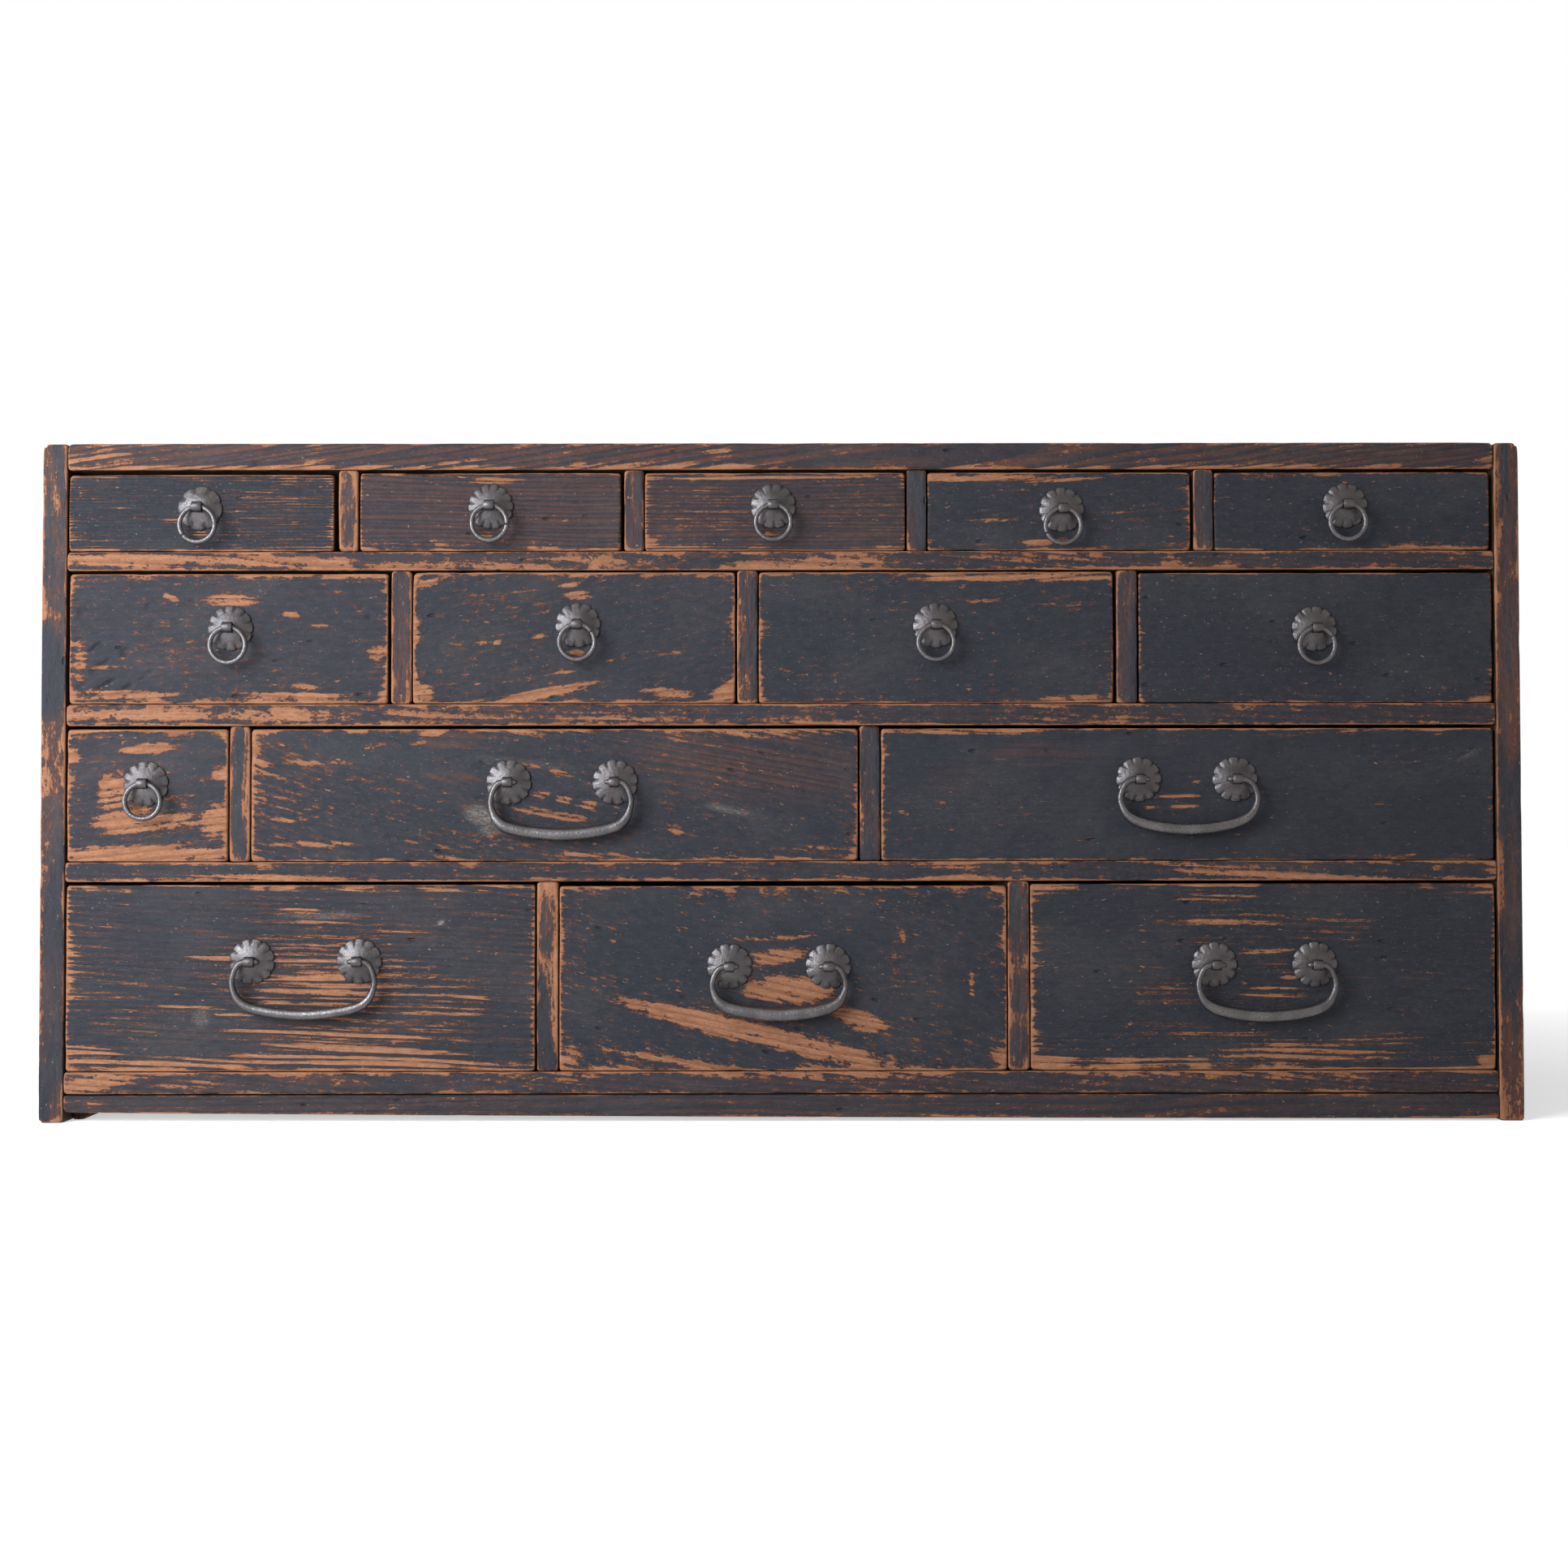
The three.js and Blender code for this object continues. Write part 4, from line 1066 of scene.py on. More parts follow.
def iron_finish(name):
    """Forged iron: browned in patches, rubbed bright where hands take it, sooty and with painted
    shade in creases.
    """
    w = material_wiring(name)
    c = colours()
    place, soot_and_shade = w.field("grain", "Vector"), w.field("soot_and_shade")
    scale = w.noise(place, (0.28, 0.28, 0.28))
    pits = w.noise(place, (1.5, 1.5, 1.5), 4, 0.65)
    hammer = w.node("TexVoronoi", {
        "Vector": place, "Scale": 0.55, "Smoothness": 0.7}, feature="SMOOTH_F1").outputs[0]
    colour = w.mix(w.ramp(scale, 0.42, 0.66, 0, 0.8), c.iron, c.rust)
    colour = w.mix(w.ramp(pits, 0.5, 0.8, 0, 0.6), colour, c.rust)
    bright = w.sums("MULTIPLY", w.field("rub"), w.ramp(pits, 0.35, 0.7, 1, 0.3))
    # The creases are made sooty and darkened with painted shade
    colour = w.mix(soot_and_shade, w.mix(bright, colour, c.rubbed), SOOT_AND_SHADE)
    rough = w.line(pits, 0.3, 0.7, 0.27, 0.48)
    rough = w.sums("MULTIPLY_ADD", bright, -0.12, rough)
    rough = w.sums("MULTIPLY_ADD", soot_and_shade, 0.3, rough)
    height = w.sums("MULTIPLY_ADD", pits, -0.5, w.sums("MULTIPLY", hammer, 0.35))
    w.finish("Principled BSDF", {
        "Base Color": colour, "Roughness": rough, "Normal": w.bump(height, IRON_RELIEF),
        "Metallic": 0.85})


def background_rays(w):
    """1 for the rays that show the background: to the camera, in gloss and through glass."""
    rays = w.node("LightPath").outputs
    shown = w.sums("MAXIMUM", rays["Is Camera Ray"], rays["Is Glossy Ray"])
    return w.sums("MAXIMUM", shown, rays["Is Transmission Ray"])


def floor_finish(name):
    """A plain pale floor that runs out into white."""
    w = material_wiring(name)
    place = w.node("TexCoord").outputs["Object"]
    level = w.line(w.noise(place, (40, 40, 40)), 0.3, 0.7, 0.985, 1)
    shade = w.node("VectorMath", {0: tuple(colours().floor), "Scale": level}, operation="SCALE")
    away = w.node("VectorMath", {0: place}, operation="LENGTH").outputs["Value"]
    lift = w.ramp(away, CAD_BOX[1].x, stage().white_from, stage().floor_lift, 1)
    lift = w.sums("MULTIPLY", lift, background_rays(w))
    w.finish("Principled BSDF", {
        "Base Color": shade.outputs[0], "Roughness": 0.9, "Specular IOR Level": 0.1,
        "Emission Color": WHITE, "Emission Strength": lift})


class CHEST_OT_finishes(bpy.types.Operator):
    """Makes the finishes of the boards, the iron and the floor"""

    bl_idname = "chest.finishes"
    bl_label = "Finishes"

    def execute(self, context):
        paint_finish("worn_paint")
        raw_finish("raw_wood")
        iron_finish("dark_iron")
        floor_finish("studio_floor")
        return {"FINISHED"}


# Carcass

def add_board(name, board, stands_for=(), shape=None, body="carcass"):
    """A painted board as a piece, with its points moved by a shape function if there is one."""
    points, faces, fields = board.build()
    if shape:
        points = shape(points)
    return piece(name, points, faces, "worn_paint", body, fields, stands_for)


def inner_edges():
    """Where the boards between the sides begin and end."""
    gap = sizes().joint_gap
    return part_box("side_left")[1].x + gap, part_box("side_right")[0].x - gap


class CHEST_OT_sides(bpy.types.Operator):
    """Makes the two side boards, which reach down to be the feet"""

    bl_idname = "chest.sides"
    bl_label = "Side boards"

    def execute(self, context):
        for number, name in enumerate(SIDE_LOOKS):
            low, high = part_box(name)
            left = name == "side_left"
            board = Board(low, high, Z, X, SEEDS["sides"] + BOARD_SEEDS * number)
            dress(board, SIDE_LOOKS[name])
            board.painted = ("front", "left" if left else "right", "top")
            board.steps = {Y: 3 * MM, Z: sizes().mesh_along, X: sizes().mesh_across}
            board.pith, board.taper = (0.2, 24), 0.04
            edge, inwards = (low.x, 1) if left else (high.x, -1)
            corners = [(high.z, -1, sizes().top_corner)]
            if left:
                corners.append((low.z, 1, sizes().foot_corner))

            def shape(points):
                for height, down, radius in corners:
                    points = round_corner(points, (X, Z), (edge, height), (inwards, down), radius)
                return points

            add_board(name + "_board", board, (name,), shape)
        return {"FINISHED"}


class CHEST_OT_top(bpy.types.Operator):
    """Makes the top board between the sides"""

    bl_idname = "chest.top"
    bl_label = "Top board"

    def execute(self, context):
        low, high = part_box("top_board")
        left, right = inner_edges()
        board = Board((left, low.y, low.z), (right, high.y, high.z), X, Z, SEEDS["top"])
        dress(board, TOP_LOOK)
        board.painted = ("front", "top")
        board.steps = {Y: 3 * MM, X: 3 * MM}
        board.pith, board.taper, board.fineness = (-0.46, 12), -0.13, 1.1
        add_board("top_plank", board, ("top_board",))
        return {"FINISHED"}


def front_levels(node):
    """A shelf's underside and deck, the uprights' top and their edges, as the front has them."""
    points = np.array([v.co for v in frame["nodes"][node].data.vertices])
    front = points[points[:, Y] < front_plane() + sizes().joint_gap]
    levels = np.unique(front[:, Z].round(5))
    edges = np.unique(front[front[:, Z] > levels[-1] - MM][:, X].round(5))
    return levels[0], levels[-2], levels[-1], edges.reshape(-1, 2)


class CHEST_OT_shelves(bpy.types.Operator):
    """Makes the shelves and the bottom board, with the dividers that stand in them"""

    bl_idname = "chest.shelves"
    bl_label = "Shelves and dividers"

    def execute(self, context):
        left, right = inner_edges()
        for number, node in enumerate(SHELVES):
            under, deck, head, uprights = front_levels(node)
            low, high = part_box(node)
            shelf = Board((left, low.y, under), (right, high.y, deck), X, Z,
                          SEEDS["shelves"] + BOARD_SEEDS * number)
            dress(shelf, SHELF_LOOKS[node])
            shelf.painted = ("front",)
            shelf.steps = {Y: sizes().mesh_hidden}
            shelf.pith = (-0.48, 8 + 6 * number)
            add_board(node + "_plank", shelf, (node,))
            seed = SEEDS["dividers"] + SHELF_SEEDS * number
            for k, (first, last) in enumerate(uprights):
                post = Board((first, low.y, deck + sizes().joint_gap),
                             (last, high.y, head), Z, X, seed + BOARD_SEEDS * k)
                dress(post, DIVIDER_LOOK)
                post.fresh -= WORN_DIVIDERS.get((node, k), 0)
                post.painted = ("front",)
                post.steps = {Y: sizes().mesh_hidden}
                add_board(f"divider_{number + 1}_{k + 1}", post)
        return {"FINISHED"}


class CHEST_OT_back(bpy.types.Operator):
    """Makes the back from planks laid across"""

    bl_idname = "chest.back"
    bl_label = "Back planks"

    planks: IntProperty(name="Planks", description="Planks in the back", default=3, min=1)

    def execute(self, context):
        low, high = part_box("back_board")
        edges = np.linspace(low.z, high.z, self.planks + 1)
        parts = []
        for k in range(self.planks):
            gap = sizes().joint_gap if k else 0
            plank = Board((low.x, low.y, edges[k] + gap), (high.x, high.y, edges[k + 1]),
                          X, Y, SEEDS["back"] + BOARD_SEEDS * k)
            plank.steps = {X: 6 * MM, Z: 4 * MM}
            plank.pith, plank.taper = (0.1 + 0.3 * k, 14), 0.03
            parts.append(plank.build(hidden=True))
        points, faces, fields = joined(parts)
        piece("back_planks", points, faces, "raw_wood", "carcass", fields,
              ("back_board",))
        return {"FINISHED"}


def apron_foot(x, solid):
    """Height of the apron's worn lower edge, read from the frame's own solid."""
    points = np.array([v.co for v in solid.data.vertices])
    middle = (points[:, Z].min() + points[:, Z].max()) / 2
    lower = points[points[:, Z] < middle]
    order = np.argsort(lower[:, X])
    return np.interp(x, lower[order, X], lower[order, Z])


# Radius of the corner block's rounded face, as a share of its width
BLOCK_CURVE = 0.7


class CHEST_OT_apron(bpy.types.Operator):
    """Makes the apron under the bottom board and the block in its left corner"""

    bl_idname = "chest.apron"
    bl_label = "Apron and corner block"

    def execute(self, context):
        low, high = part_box("apron")
        board = dress(Board(low, high, X, Y, SEEDS["apron"]), APRON_LOOK)
        board.painted = ("front", "bottom")
        board.pith, board.taper = (2.5, 40), 0.01
        board.steps = {Y: 4 * MM}

        def shape(points):
            foot = apron_foot(points[:, X], frame["nodes"]["apron"])
            share = (points[:, Z] - low.z) / (high.z - low.z)
            points[:, Z] = foot + share * (high.z - foot)
            return points

        add_board("apron_rail", board, ("apron",), shape)
        self.block()
        return {"FINISHED"}

    def block(self):
        """The block, with the lower edge of its inner side rounded away."""
        low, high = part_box("corner_block")
        block = dress(Board(low, high, Y, X, SEEDS["block"]), BLOCK_LOOK)
        block.painted = ("bottom", "right")
        block.steps = {X: MM, Z: MM, Y: 5 * MM}
        reach = (high.x - low.x) * BLOCK_CURVE

        def curve(points):
            return round_corner(points, (X, Z), (high.x, low.z), (-1, 1), reach)

        add_board("corner_cleat", block, ("corner_block",), curve)


# Drawers

def drawer_tags():
    """Row and place of each drawer."""
    return [f"{row}_{place}" for row, count in ROWS.items() for place in range(1, count + 1)]


def drawer_box(tag, seed):
    """The sides, back and floor of a drawer."""
    s = sizes()
    low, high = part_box("drawer_" + tag)
    left, right = low.x + s.wall_inset, high.x - s.wall_inset
    rear, rim = high.y, high.z - s.wall_drop
    start = low.y + 0.5 * s.front_board
    inner_left, inner_right = left + s.wall_board, right - s.wall_board
    floor = low.z + s.floor_board
    boards = (
        ((left, start, low.z), (inner_left, rear, rim), Y, X),
        ((inner_right, start, low.z), (right, rear, rim), Y, X),
        ((inner_left, rear - s.wall_board, low.z), (inner_right, rear, rim - s.back_drop), X, Y),
        ((inner_left, start, low.z), (inner_right, rear - s.wall_board, floor), X, Z),
    )
    parts = []
    for k, (first, last, along, through) in enumerate(boards):
        board = Board(first, last, along, through, seed + BOARD_SEEDS * k)
        board.pith, board.taper = (0.4 * (-1) ** k, 18), 0.05
        parts.append(board.build(hidden=True))
    return joined(parts)


class CHEST_OT_drawers(bpy.types.Operator):
    """Makes the drawers: a painted front board on a box of raw boards"""

    bl_idname = "chest.drawers"
    bl_label = "Drawers"

    def execute(self, context):
        for number, tag in enumerate(drawer_tags()):
            body = "drawer_" + tag
            low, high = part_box(body)
            rear = (high.x, low.y + sizes().front_board, high.z)
            front = Board(low, rear, X, Y, SEEDS["fronts"] + DRAWER_SEEDS * number)
            front.steps = {Y: 4 * MM}
            front.painted = ("front",)
            dress(front, DRAWER_LOOKS[tag])
            add_board("front_" + tag, front, (body,), body=body)
            points, faces, fields = drawer_box(tag, SEEDS["boxes"] + DRAWER_SEEDS * number)
            piece("box_" + tag, points, faces, "raw_wood", body, fields)
        return {"FINISHED"}


# Iron pulls

def sweep(path, section_of):
    """A skin over sections along a path, closed at both ends. section_of(k) gives the loop at
    a point of the path."""
    points = np.concatenate([section_of(k) for k in range(len(path))])
    sides = len(points) // len(path)
    faces = []
    for here in range(0, len(points) - sides, sides):
        there = here + sides
        for i in range(sides):
            j = (i + 1) % sides
            faces.append([here + i, here + j, there + j, there + i])
    faces.append(list(range(sides))[::-1])
    faces.append(list(range(len(points) - sides, len(points))))
    return points, faces


def directions(path):
    """Unit directions along a path."""
    ahead = np.gradient(path, axis=0)
    return ahead / np.linalg.norm(ahead, axis=1, keepdims=True)


def round_bar(path, thick, sides, pivot, flats=None):
    """A round bar of a radius for each point of a path that is measured from a pivot. It may
    have eight flats, with a depth for each point."""
    ahead = directions(path)
    angle = FULL_TURN * np.arange(sides) / sides
    flats = np.zeros(len(path)) if flats is None else flats

    def section(k):
        reach = 1 - flats[k] * (0.5 - 0.5 * np.cos(8 * angle))
        loop = np.outer(np.cos(angle) * reach, np.cross(ahead[k], (0, 1, 0)))
        loop += np.outer(np.sin(angle) * reach, (0, 1, 0))
        return path[k] + thick[k] * loop + np.array(pivot)

    return sweep(path, section)


def forged(name, points, faces, body, seed, rub, soot_and_shade=0, stands_for=()):
    """An iron piece, rubbed bright, and sooty and darkened with painted shade, as far as its points
    say.
    """
    shift = np.random.default_rng(seed).uniform(0, 500, 3)
    fields = {
        "grain": (points - points.mean(axis=0)) / MM + shift,
        "rub": rub,
        "soot_and_shade": np.broadcast_to(soot_and_shade, len(points)),
    }
    return piece(name, points, faces, "dark_iron", body, fields, stands_for)


def pivots():
    """Each handle's pivot, by the handle's node name."""
    return {
        joint["child"]: Vector(joint["pos_m"])
        for joint in frame["joints"] if joint["type"] == "hinge"
    }


def pulls(kind):
    """Number, node and pivot of each pull whose name starts with its kind."""
    for number, (node, pivot) in enumerate(sorted(pivots().items())):
        if node.startswith(kind):
            yield number, node, pivot


def plate_nodes():
    """The nodes of the plates, in the order of their names."""
    return sorted(name for name in frame["nodes"] if name.startswith("plate_"))


def tag_of(node):
    """Row and place of the drawer that a node of the ironwork is on."""
    return "_".join(node.split("_")[1:3])


def pin_place(node):
    """Where a plate's split pin goes through the drawer's front."""
    low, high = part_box(node)
    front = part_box("drawer_" + tag_of(node))[0].y
    return Vector(((low.x + high.x) / 2, front, (low.z + high.z) / 2))


# Petals of the plates that differ from the rest, petals of the rest, and points along a petal
PETALS = {"plate_1_1": 8, "plate_1_2": 14}
PETALS_ELSE = 12
PETAL_STEPS = 10

# The rings of points of a plate, as shares of its radius, and the share where its dots lie
PLATE_RINGS = (0.08, 0.18, 0.3, 0.4, 0.5, 0.6, 0.68, 0.76, 0.83, 0.89, 0.94, 0.98, 1)
DOT_SHARE = 0.86

# A plate's least height over the drawer, outside and inside, and how far it leans
PLATE_RIM = 0.55 * MM
HOLLOW_RIM = 0.1 * MM
PLATE_LEAN = 0.1 * MM


def beyond(share, start, reach):
    """From 0 at start to 1 at a reach beyond it."""
    return np.clip((share - start) / reach, 0, 1)


def petal_plate(node, seed):
    """A hollow scalloped dome, with grooves between its petals and a punched dot in each
    notch: its points, its faces, how rubbed it is and how sooty, with painted shade in its creases."""
    size = iron()
    low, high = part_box(node)
    radius = (high.x - low.x) / 2
    centre = pin_place(node)
    petals = PETALS.get(node, PETALS_ELSE)
    count = PETAL_STEPS * petals
    random = np.random.default_rng(seed)
    turn = random.uniform(0, FULL_TURN)
    lean_x, lean_z = PLATE_LEAN * random.uniform(-1, 1, 2)
    angle = FULL_TURN * np.arange(count) / count
    within = np.abs(((angle * petals / FULL_TURN) % 1) - 0.5) * 2
    notch = size.petal_notch * (1 - np.sqrt(np.clip(1 - within ** 3, 0, 1)))
    rings, inner, dirt_and_shade, worn = [], [], [], []
    for share in PLATE_RINGS:
        crease = np.exp(-((1 - within) / 0.2) ** 2) * beyond(share, 0.66, 0.16)
        bulge = (1 - within ** 2) * beyond(share, 0.7, 0.2)
        dot = 0.6 * np.exp(-((share - DOT_SHARE) / 0.045) ** 2) * crease
        height = size.plate_rise * (1 - share ** 2) + 0.9 * size.plate_wall
        height = height + size.petal_groove * (0.7 * bulge - crease - dot)
        height = height + (lean_x * np.cos(angle) + lean_z * np.sin(angle)) * share
        out = radius * share - notch * beyond(share, 0.7, 0.3)
        x, z = out * np.cos(angle + turn), out * np.sin(angle + turn)
        for loops, rise, least in ((rings, height, PLATE_RIM),
                                   (inner, height - size.plate_wall, HOLLOW_RIM)):
            rise = np.maximum(rise, least)
            loops.append(np.stack([centre.x + x, centre.y - rise, centre.z + z], axis=1))
        # The creases are made sooty and darkened with painted shade
        dirt_and_shade.append(0.2 * crease)
        worn.append(0.2 * bulge)
    crown = np.array([[centre.x, centre.y - size.plate_rise - 0.9 * size.plate_wall, centre.z]])
    loops = rings + inner[::-1]
    points = np.concatenate([crown, *loops, crown + (0, size.plate_wall, 0)])
    first, last, end = 1, 1 + (len(loops) - 1) * count, len(points) - 1
    ahead = [(k + 1) % count for k in range(count)]
    faces = [[first + j, first + k, 0] for k, j in enumerate(ahead)]
    for here in range(first, last, count):
        there = here + count
        faces += [[here + j, there + j, there + k, here + k] for k, j in enumerate(ahead)]
    faces += [[last + j, end, last + k] for k, j in enumerate(ahead)]
    outside = slice(first, first + count * len(rings))
    rub = 0.22 + 0.25 * noise(points / (5 * MM), seed)
    rub[outside] += np.concatenate(worn)
    soot_and_shade = np.zeros(len(points))
    soot_and_shade[outside] = np.concatenate(dirt_and_shade)
    return points, faces, rub, soot_and_shade


# Points along a leg of a split pin and round its eye, and shares of the strap's width: of the
# legs, and what the eye adds
LEG_STEPS = 6
EYE_STEPS = 26
LEG_WIDTH = 0.82
EYE_FLARE = 0.18


def split_pin(node):
    """A strap bent round into an eye, its two legs driven through the front and clenched."""
    size = iron()
    centre = pin_place(node)
    tag = tag_of(node)
    handle = "ring_" + tag if "ring_" + tag in pivots() else "bail_" + tag
    standoff = centre.y - pivots()[handle].y
    half = size.strap_thickness / 2
    reach = size.eye_bore + half
    back = sizes().front_board + sizes().joint_gap + half
    neck = 2.2 * math.asin(half / reach)
    clenched = [(back, size.clench + half), (back, 2 * half), (back - half, half)]
    leg = [(depth, half)
           for depth in np.linspace(back - 2 * half, -standoff + 1.6 * reach, LEG_STEPS)]
    eye = [(-standoff + reach * math.cos(turn), reach * math.sin(turn))
           for turn in np.linspace(neck, FULL_TURN - neck, EYE_STEPS)]
    upper = clenched + leg
    lower = [(depth, -height) for depth, height in upper[::-1]]
    path = np.array([(0, depth, height) for depth, height in upper + eye + lower])
    ahead = directions(path)
    wide = size.strap_width / 2
    chamfer = 0.35 * half
    corners = [(wide, half - chamfer), (wide - chamfer, half), (chamfer - wide, half),
               (-wide, half - chamfer), (-wide, chamfer - half), (chamfer - wide, -half),
               (wide - chamfer, -half), (wide, chamfer - half)]
    middle = len(upper) + EYE_STEPS // 2 - 1

    def section(k):
        side = np.array([1, 0, 0])
        out = np.cross(ahead[k], side)
        near = max(0.0, 1 - abs(k - middle) / (EYE_STEPS / 2))
        width = LEG_WIDTH + EYE_FLARE * near
        loop = [path[k] + side * across * width + out * rise for across, rise in corners]
        return np.array(loop) + np.array(centre)

    return sweep(path, section)


class CHEST_OT_plates(bpy.types.Operator):
    """Makes the chrysanthemum plates and the split pins that hold them"""

    bl_idname = "chest.plates"
    bl_label = "Plates and split pins"

    def execute(self, context):
        for number, node in enumerate(plate_nodes()):
            body = "drawer_" + tag_of(node)
            seed = SEEDS["plates"] + number
            points, faces, rub, soot_and_shade = petal_plate(node, seed)
            forged(node + "_dome", points, faces, body, seed, rub, soot_and_shade, (node,))
            seed = SEEDS["pins"] + number
            points, faces = split_pin(node)
            rub = 0.35 + 0.2 * noise(points / (3 * MM), seed)
            forged(node.replace("plate", "pin"), points, faces, body, seed, rub)
        return {"FINISHED"}


# Where each ring's butt joint lies, in degrees round the ring
RING_JOINTS = {
    "ring_1_1": 218, "ring_1_2": 355, "ring_1_3": 82, "ring_1_4": 205, "ring_1_5": 96,
    "ring_2_1": 88, "ring_2_2": 35, "ring_2_3": 93, "ring_2_4": 30, "ring_3_1": 85,
}

# How far a ring is bent out of round
RING_BEND = 0.12 * MM


class CHEST_OT_rings(bpy.types.Operator):
    """Makes the ring pulls from bent wire with a butt joint"""

    bl_idname = "chest.rings"
    bl_label = "Rings"

    steps: IntProperty(name="Steps", description="Steps round a ring", default=72, min=12)
    sides: IntProperty(name="Sides", description="Sides of the wire", default=14, min=6)

    def execute(self, context):
        size = iron()
        for number, node, pivot in pulls("ring_"):
            low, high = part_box(node)
            radius = (high.z - low.z) / 2 - size.ring_wire
            gap = size.ring_gap / radius
            start = math.radians(RING_JOINTS[node]) + gap / 2
            turn = np.linspace(start, start + FULL_TURN - gap, self.steps)
            circle = np.stack([np.cos(turn), np.sin(turn), turn * 0], axis=1)
            bend = noise(circle * 1.2, SEEDS["ring_bends"] + number)
            out = radius + RING_BEND * bend * (1 - np.exp(-(np.sin(turn) - 1) ** 2 * 8))
            path = np.stack([out * np.cos(turn), turn * 0, out * np.sin(turn) - radius], axis=1)
            thick = size.ring_wire * (1 + 0.05 * bend)
            points, faces = round_bar(path, thick, self.sides, pivot)
            rub = 0.55 + 0.3 * noise(points / (4 * MM), SEEDS["ring_rub"] + number)
            forged(node + "_wire", points, faces, node, SEEDS["ring_grain"] + number, rub,
                   stands_for=(node,))
        return {"FINISHED"}


def spline(points, steps):
    """A smooth curve through points, with even steps."""
    points = np.asarray(points, float)
    whole = np.concatenate([[2 * points[0] - points[1]], points, [2 * points[-1] - points[-2]]])
    fine = []
    for k in range(1, len(whole) - 2):
        a, b, c, d = whole[k - 1:k + 3]
        for t in np.linspace(0, 1, 24, endpoint=False):
            fine.append(0.5 * (2 * b + (c - a) * t + (2 * a - 5 * b + 4 * c - d) * t ** 2
                               + (3 * b - a - 3 * c + d) * t ** 3))
    fine = np.array(fine + [points[-1]])
    length = np.concatenate([[0], np.linalg.norm(np.diff(fine, axis=0), axis=1).cumsum()])
    even = np.linspace(0, length[-1], steps)
    return np.stack([np.interp(even, length, fine[:, a]) for a in range(fine.shape[1])], axis=1)


# The bail's arm and grip, as shares of its reach beyond the post and of its drop
ARM_SHARES = ((0.74, 0.09), (1, 0.33), (0.92, 0.54), (0.58, 0.74))
GRIP_SHARES = ((0.96, 0.875), (0.5, 0.965), (0, 1))

# The share of the drop where the bail begins to swell, and how far it thins at its ends
SWELL_SHARE = 0.4
END_TAPER = 0.35

# Depth of the flats hammered along the grip, as a share of its radius
GRIP_FLATS = 0.05


class CHEST_OT_bails(bpy.types.Operator):
    """Makes the bail pulls, thin in the eyes and thick in the grip"""

    bl_idname = "chest.bails"
    bl_label = "Bails"

    steps: IntProperty(name="Steps", description="Steps along a bail", default=110, min=20)
    sides: IntProperty(name="Sides", description="Sides of the bar", default=18, min=8)

    def execute(self, context):
        size = iron()
        for number, node, pivot in pulls("bail_"):
            low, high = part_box(node)
            post = pin_place(f"plate_{tag_of(node)}_right").x - pivot.x
            grip = (high.y - low.y) / 2
            reach = (high.x - low.x) / 2 - post - size.bail_end
            drop = pivot.z - low.z - grip
            half = size.strap_width / 2
            right = [(post - half - size.bail_tip, 0), (post + half, 0)]
            right += [(post + reach * out, -drop * down) for out, down in ARM_SHARES]
            right += [(post * across, -drop * down) for across, down in GRIP_SHARES]
            left = [(-x, z) for x, z in right[-2::-1]]
            flat = spline(right + left, self.steps)
            path = np.stack([flat[:, 0], 0 * flat[:, 0], flat[:, 1]], axis=1)
            swell = ramp(-path[:, Z] / drop, SWELL_SHARE, 1)
            bend = noise(path / (9 * MM), SEEDS["bail_bends"] + number)
            thick = (size.bail_end + (grip - size.bail_end) * swell) * (1 + 0.03 * bend)
            ends = np.minimum(np.arange(self.steps), np.arange(self.steps)[::-1])
            thick = thick * (1 - END_TAPER * np.exp(-ends / 1.2))
            points, faces = round_bar(path, thick, self.sides, pivot, GRIP_FLATS * swell)
            rub = 0.4 + 0.3 * noise(points / (6 * MM), SEEDS["bail_rub"] + number)
            rub += 0.25 * np.repeat(swell, self.sides)
            forged(node + "_bar", points, faces, node, SEEDS["bail_grain"] + number, rub,
                   stands_for=(node,))
        return {"FINISHED"}


# Stage

# Width of the camera's sensor, in millimetres
SENSOR_WIDTH = 36


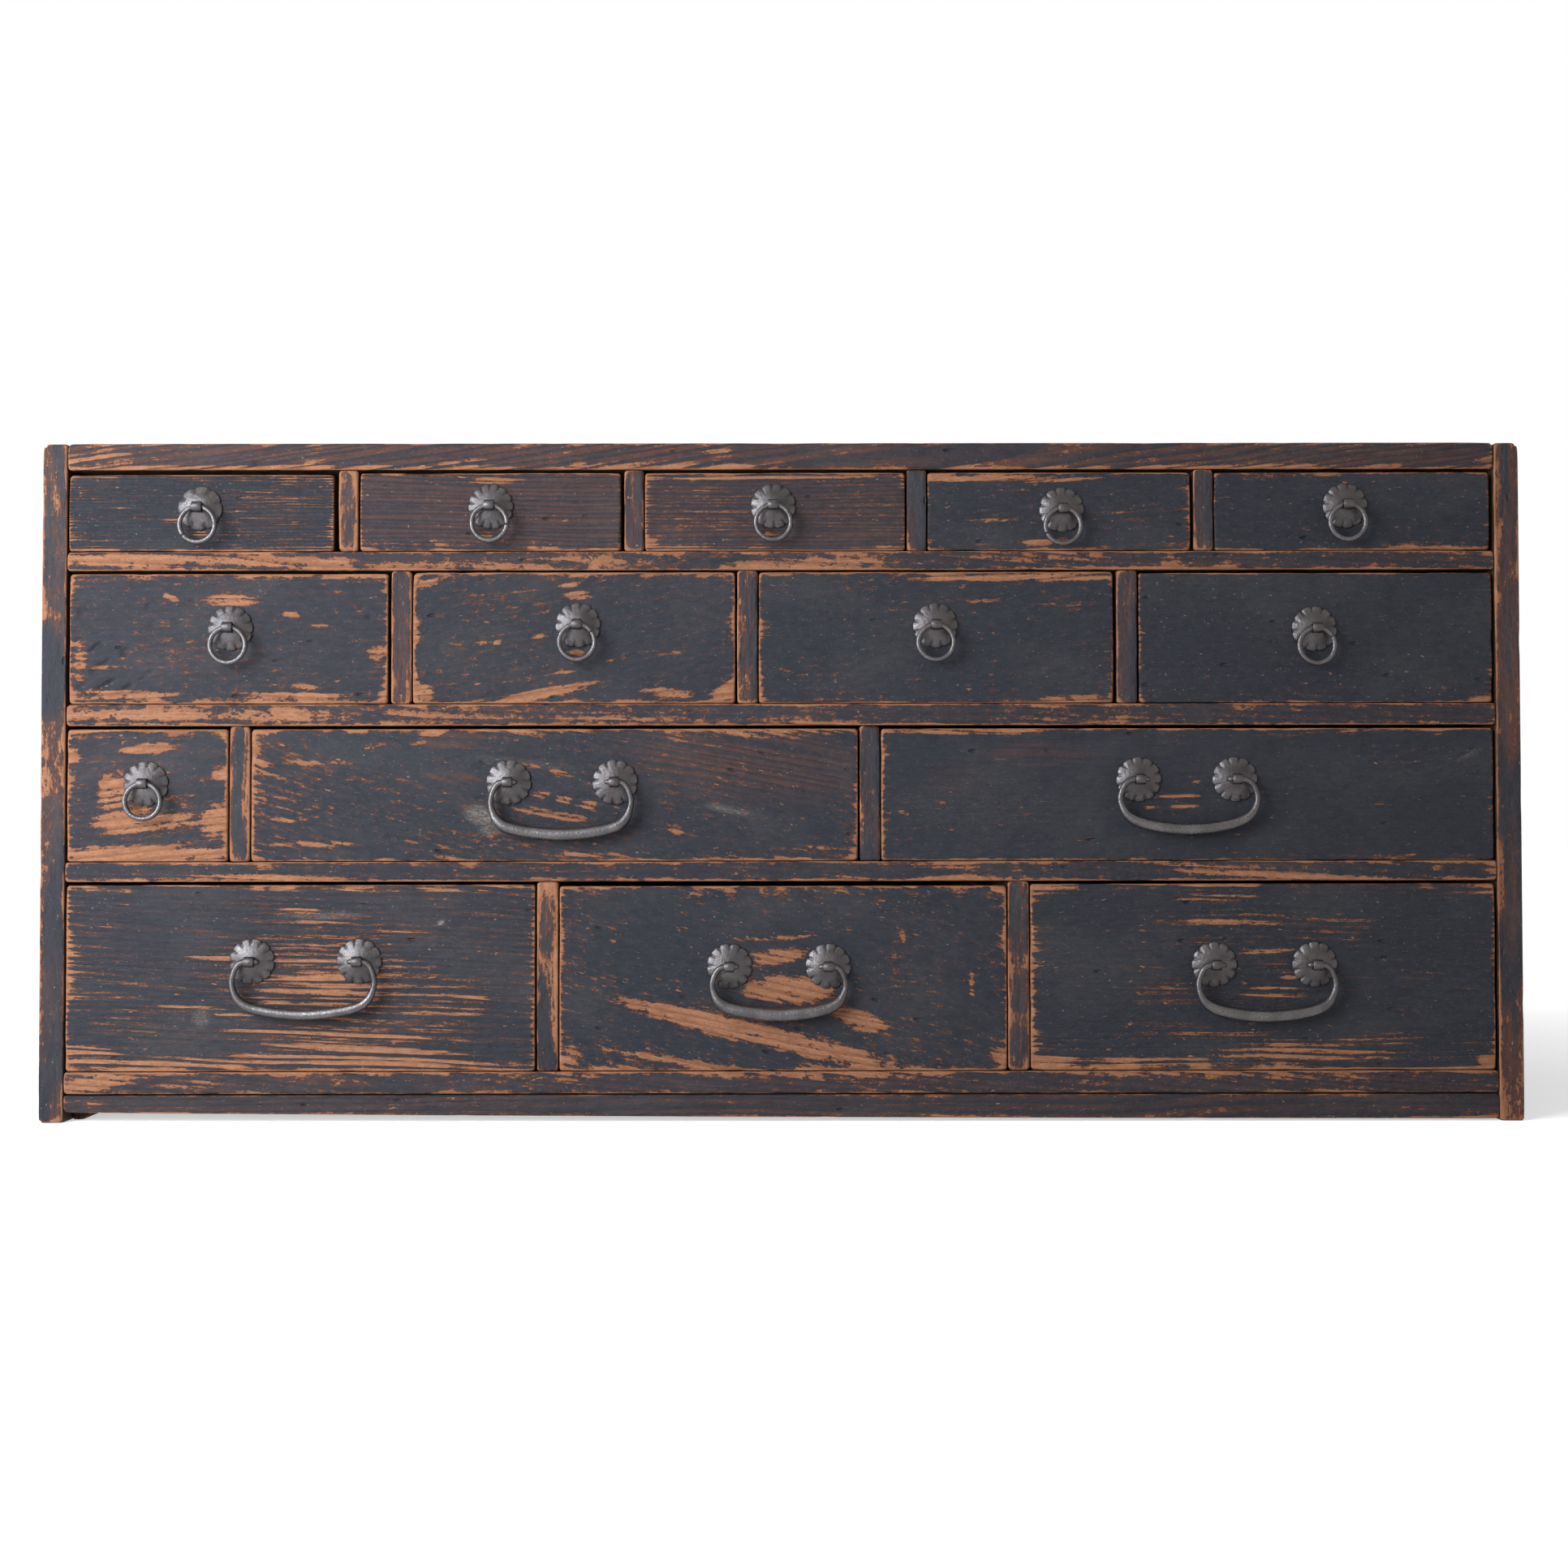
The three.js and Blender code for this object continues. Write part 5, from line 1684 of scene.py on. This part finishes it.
class CHEST_OT_stage(bpy.types.Operator):
    """Makes the floor, the lamps, the white surround and the camera"""

    bl_idname = "chest.stage"
    bl_label = "Stage"

    def execute(self, context):
        self.floor()
        look = stage()
        self.lamp("key_lamp", look.key_place, look.key_side, look.key_power, look.key_colour)
        self.lamp("fill_lamp", look.fill_place, look.fill_side, look.fill_power, (1, 1, 1))
        self.surround()
        self.camera()
        context.scene.view_settings.view_transform = "Standard"
        return {"FINISHED"}

    def floor(self):
        """One large square."""
        half = stage().floor_side / 2
        mesh = bpy.data.meshes.new("floor")
        corners = [(-half, -half, 0), (half, -half, 0), (half, half, 0), (-half, half, 0)]
        mesh.from_pydata(corners, [], [(0, 1, 2, 3)])
        mesh.materials.append(bpy.data.materials["studio_floor"])
        made = bpy.data.objects.new("floor", mesh)
        bpy.context.scene.collection.objects.link(made)

    def lamp(self, name, place, side, power, colour):
        """A soft square lamp that is turned to the middle of the chest's front."""
        light = bpy.data.lights.new(name, "AREA")
        light.shape, light.size, light.energy, light.color = "SQUARE", side, power, colour
        made = bpy.data.objects.new(name, light)
        made.location = place
        middle = Vector((0, front_plane(), CAD_BOX[1].z / 2))
        made.rotation_euler = (middle - made.location).to_track_quat("-Z", "Y").to_euler()
        bpy.context.scene.collection.objects.link(made)

    def surround(self):
        """A world with more light round the key lamp, and white where the background shows."""
        world = bpy.data.worlds.new("surround")
        bpy.context.scene.world = world
        world.use_nodes = True
        w = Wiring(world.node_tree)
        towards = w.node("VectorMath", {
            0: w.node("TexCoord").outputs["Generated"],
            1: Vector(stage().key_place).normalized(),
        }, operation="DOT_PRODUCT").outputs["Value"]
        light = w.line(towards, -1, 1, stage().surround_dark, stage().surround)
        w.finish("Background", {
            "Color": WHITE, "Strength": w.line(background_rays(w), 0, 1, light, 1)})

    def camera(self):
        """The lens of the photograph."""
        data = bpy.data.cameras.new("camera")
        data.sensor_width = SENSOR_WIDTH
        data.lens = stage().focal_pixels / PHOTO_SIDE * data.sensor_width
        made = bpy.data.objects.new("camera", data)
        made.matrix_world = Matrix.Translation(camera_place()) @ camera_turn()
        bpy.context.scene.collection.objects.link(made)
        bpy.context.scene.camera = made


# Add-on

OPERATORS = (
    CHEST_OT_finishes,
    CHEST_OT_sides,
    CHEST_OT_top,
    CHEST_OT_shelves,
    CHEST_OT_back,
    CHEST_OT_apron,
    CHEST_OT_drawers,
    CHEST_OT_plates,
    CHEST_OT_rings,
    CHEST_OT_bails,
    CHEST_OT_stage,
)


class CHEST_PT_panel(bpy.types.Panel):
    """Lists the chest's settings and the operators that make it"""

    bl_idname = "CHEST_PT_panel"
    bl_label = "Chest"
    bl_space_type = "VIEW_3D"
    bl_region_type = "UI"
    bl_category = "Chest"

    def draw(self, context):
        for operator in OPERATORS:
            self.layout.operator(operator.bl_idname)
        for group in ("chest_sizes", "chest_iron", "chest_colours", "chest_stage"):
            settings = getattr(context.scene, group)
            box = self.layout.box()
            for name in settings.bl_rna.properties.keys():
                if name not in ("rna_type", "name"):
                    box.prop(settings, name)


GROUPS = {
    "chest_sizes": ChestSizes,
    "chest_iron": ChestIron,
    "chest_colours": ChestColours,
    "chest_stage": ChestStage,
}


def register():
    """Adds the settings, the operators and the panel."""
    for group in (*GROUPS.values(), *OPERATORS, CHEST_PT_panel):
        bpy.utils.register_class(group)
    for name, group in GROUPS.items():
        setattr(bpy.types.Scene, name, PointerProperty(type=group))


def unregister():
    """Takes them away again."""
    for name in GROUPS:
        delattr(bpy.types.Scene, name)
    for group in (CHEST_PT_panel, *reversed(OPERATORS), *reversed(GROUPS.values())):
        bpy.utils.unregister_class(group)


def main():
    """Makes the chest and its stage."""
    register()
    for operator in OPERATORS:
        group, name = operator.bl_idname.split(".")
        getattr(getattr(bpy.ops, group), name)()


if __name__ == "__main__":
    main()
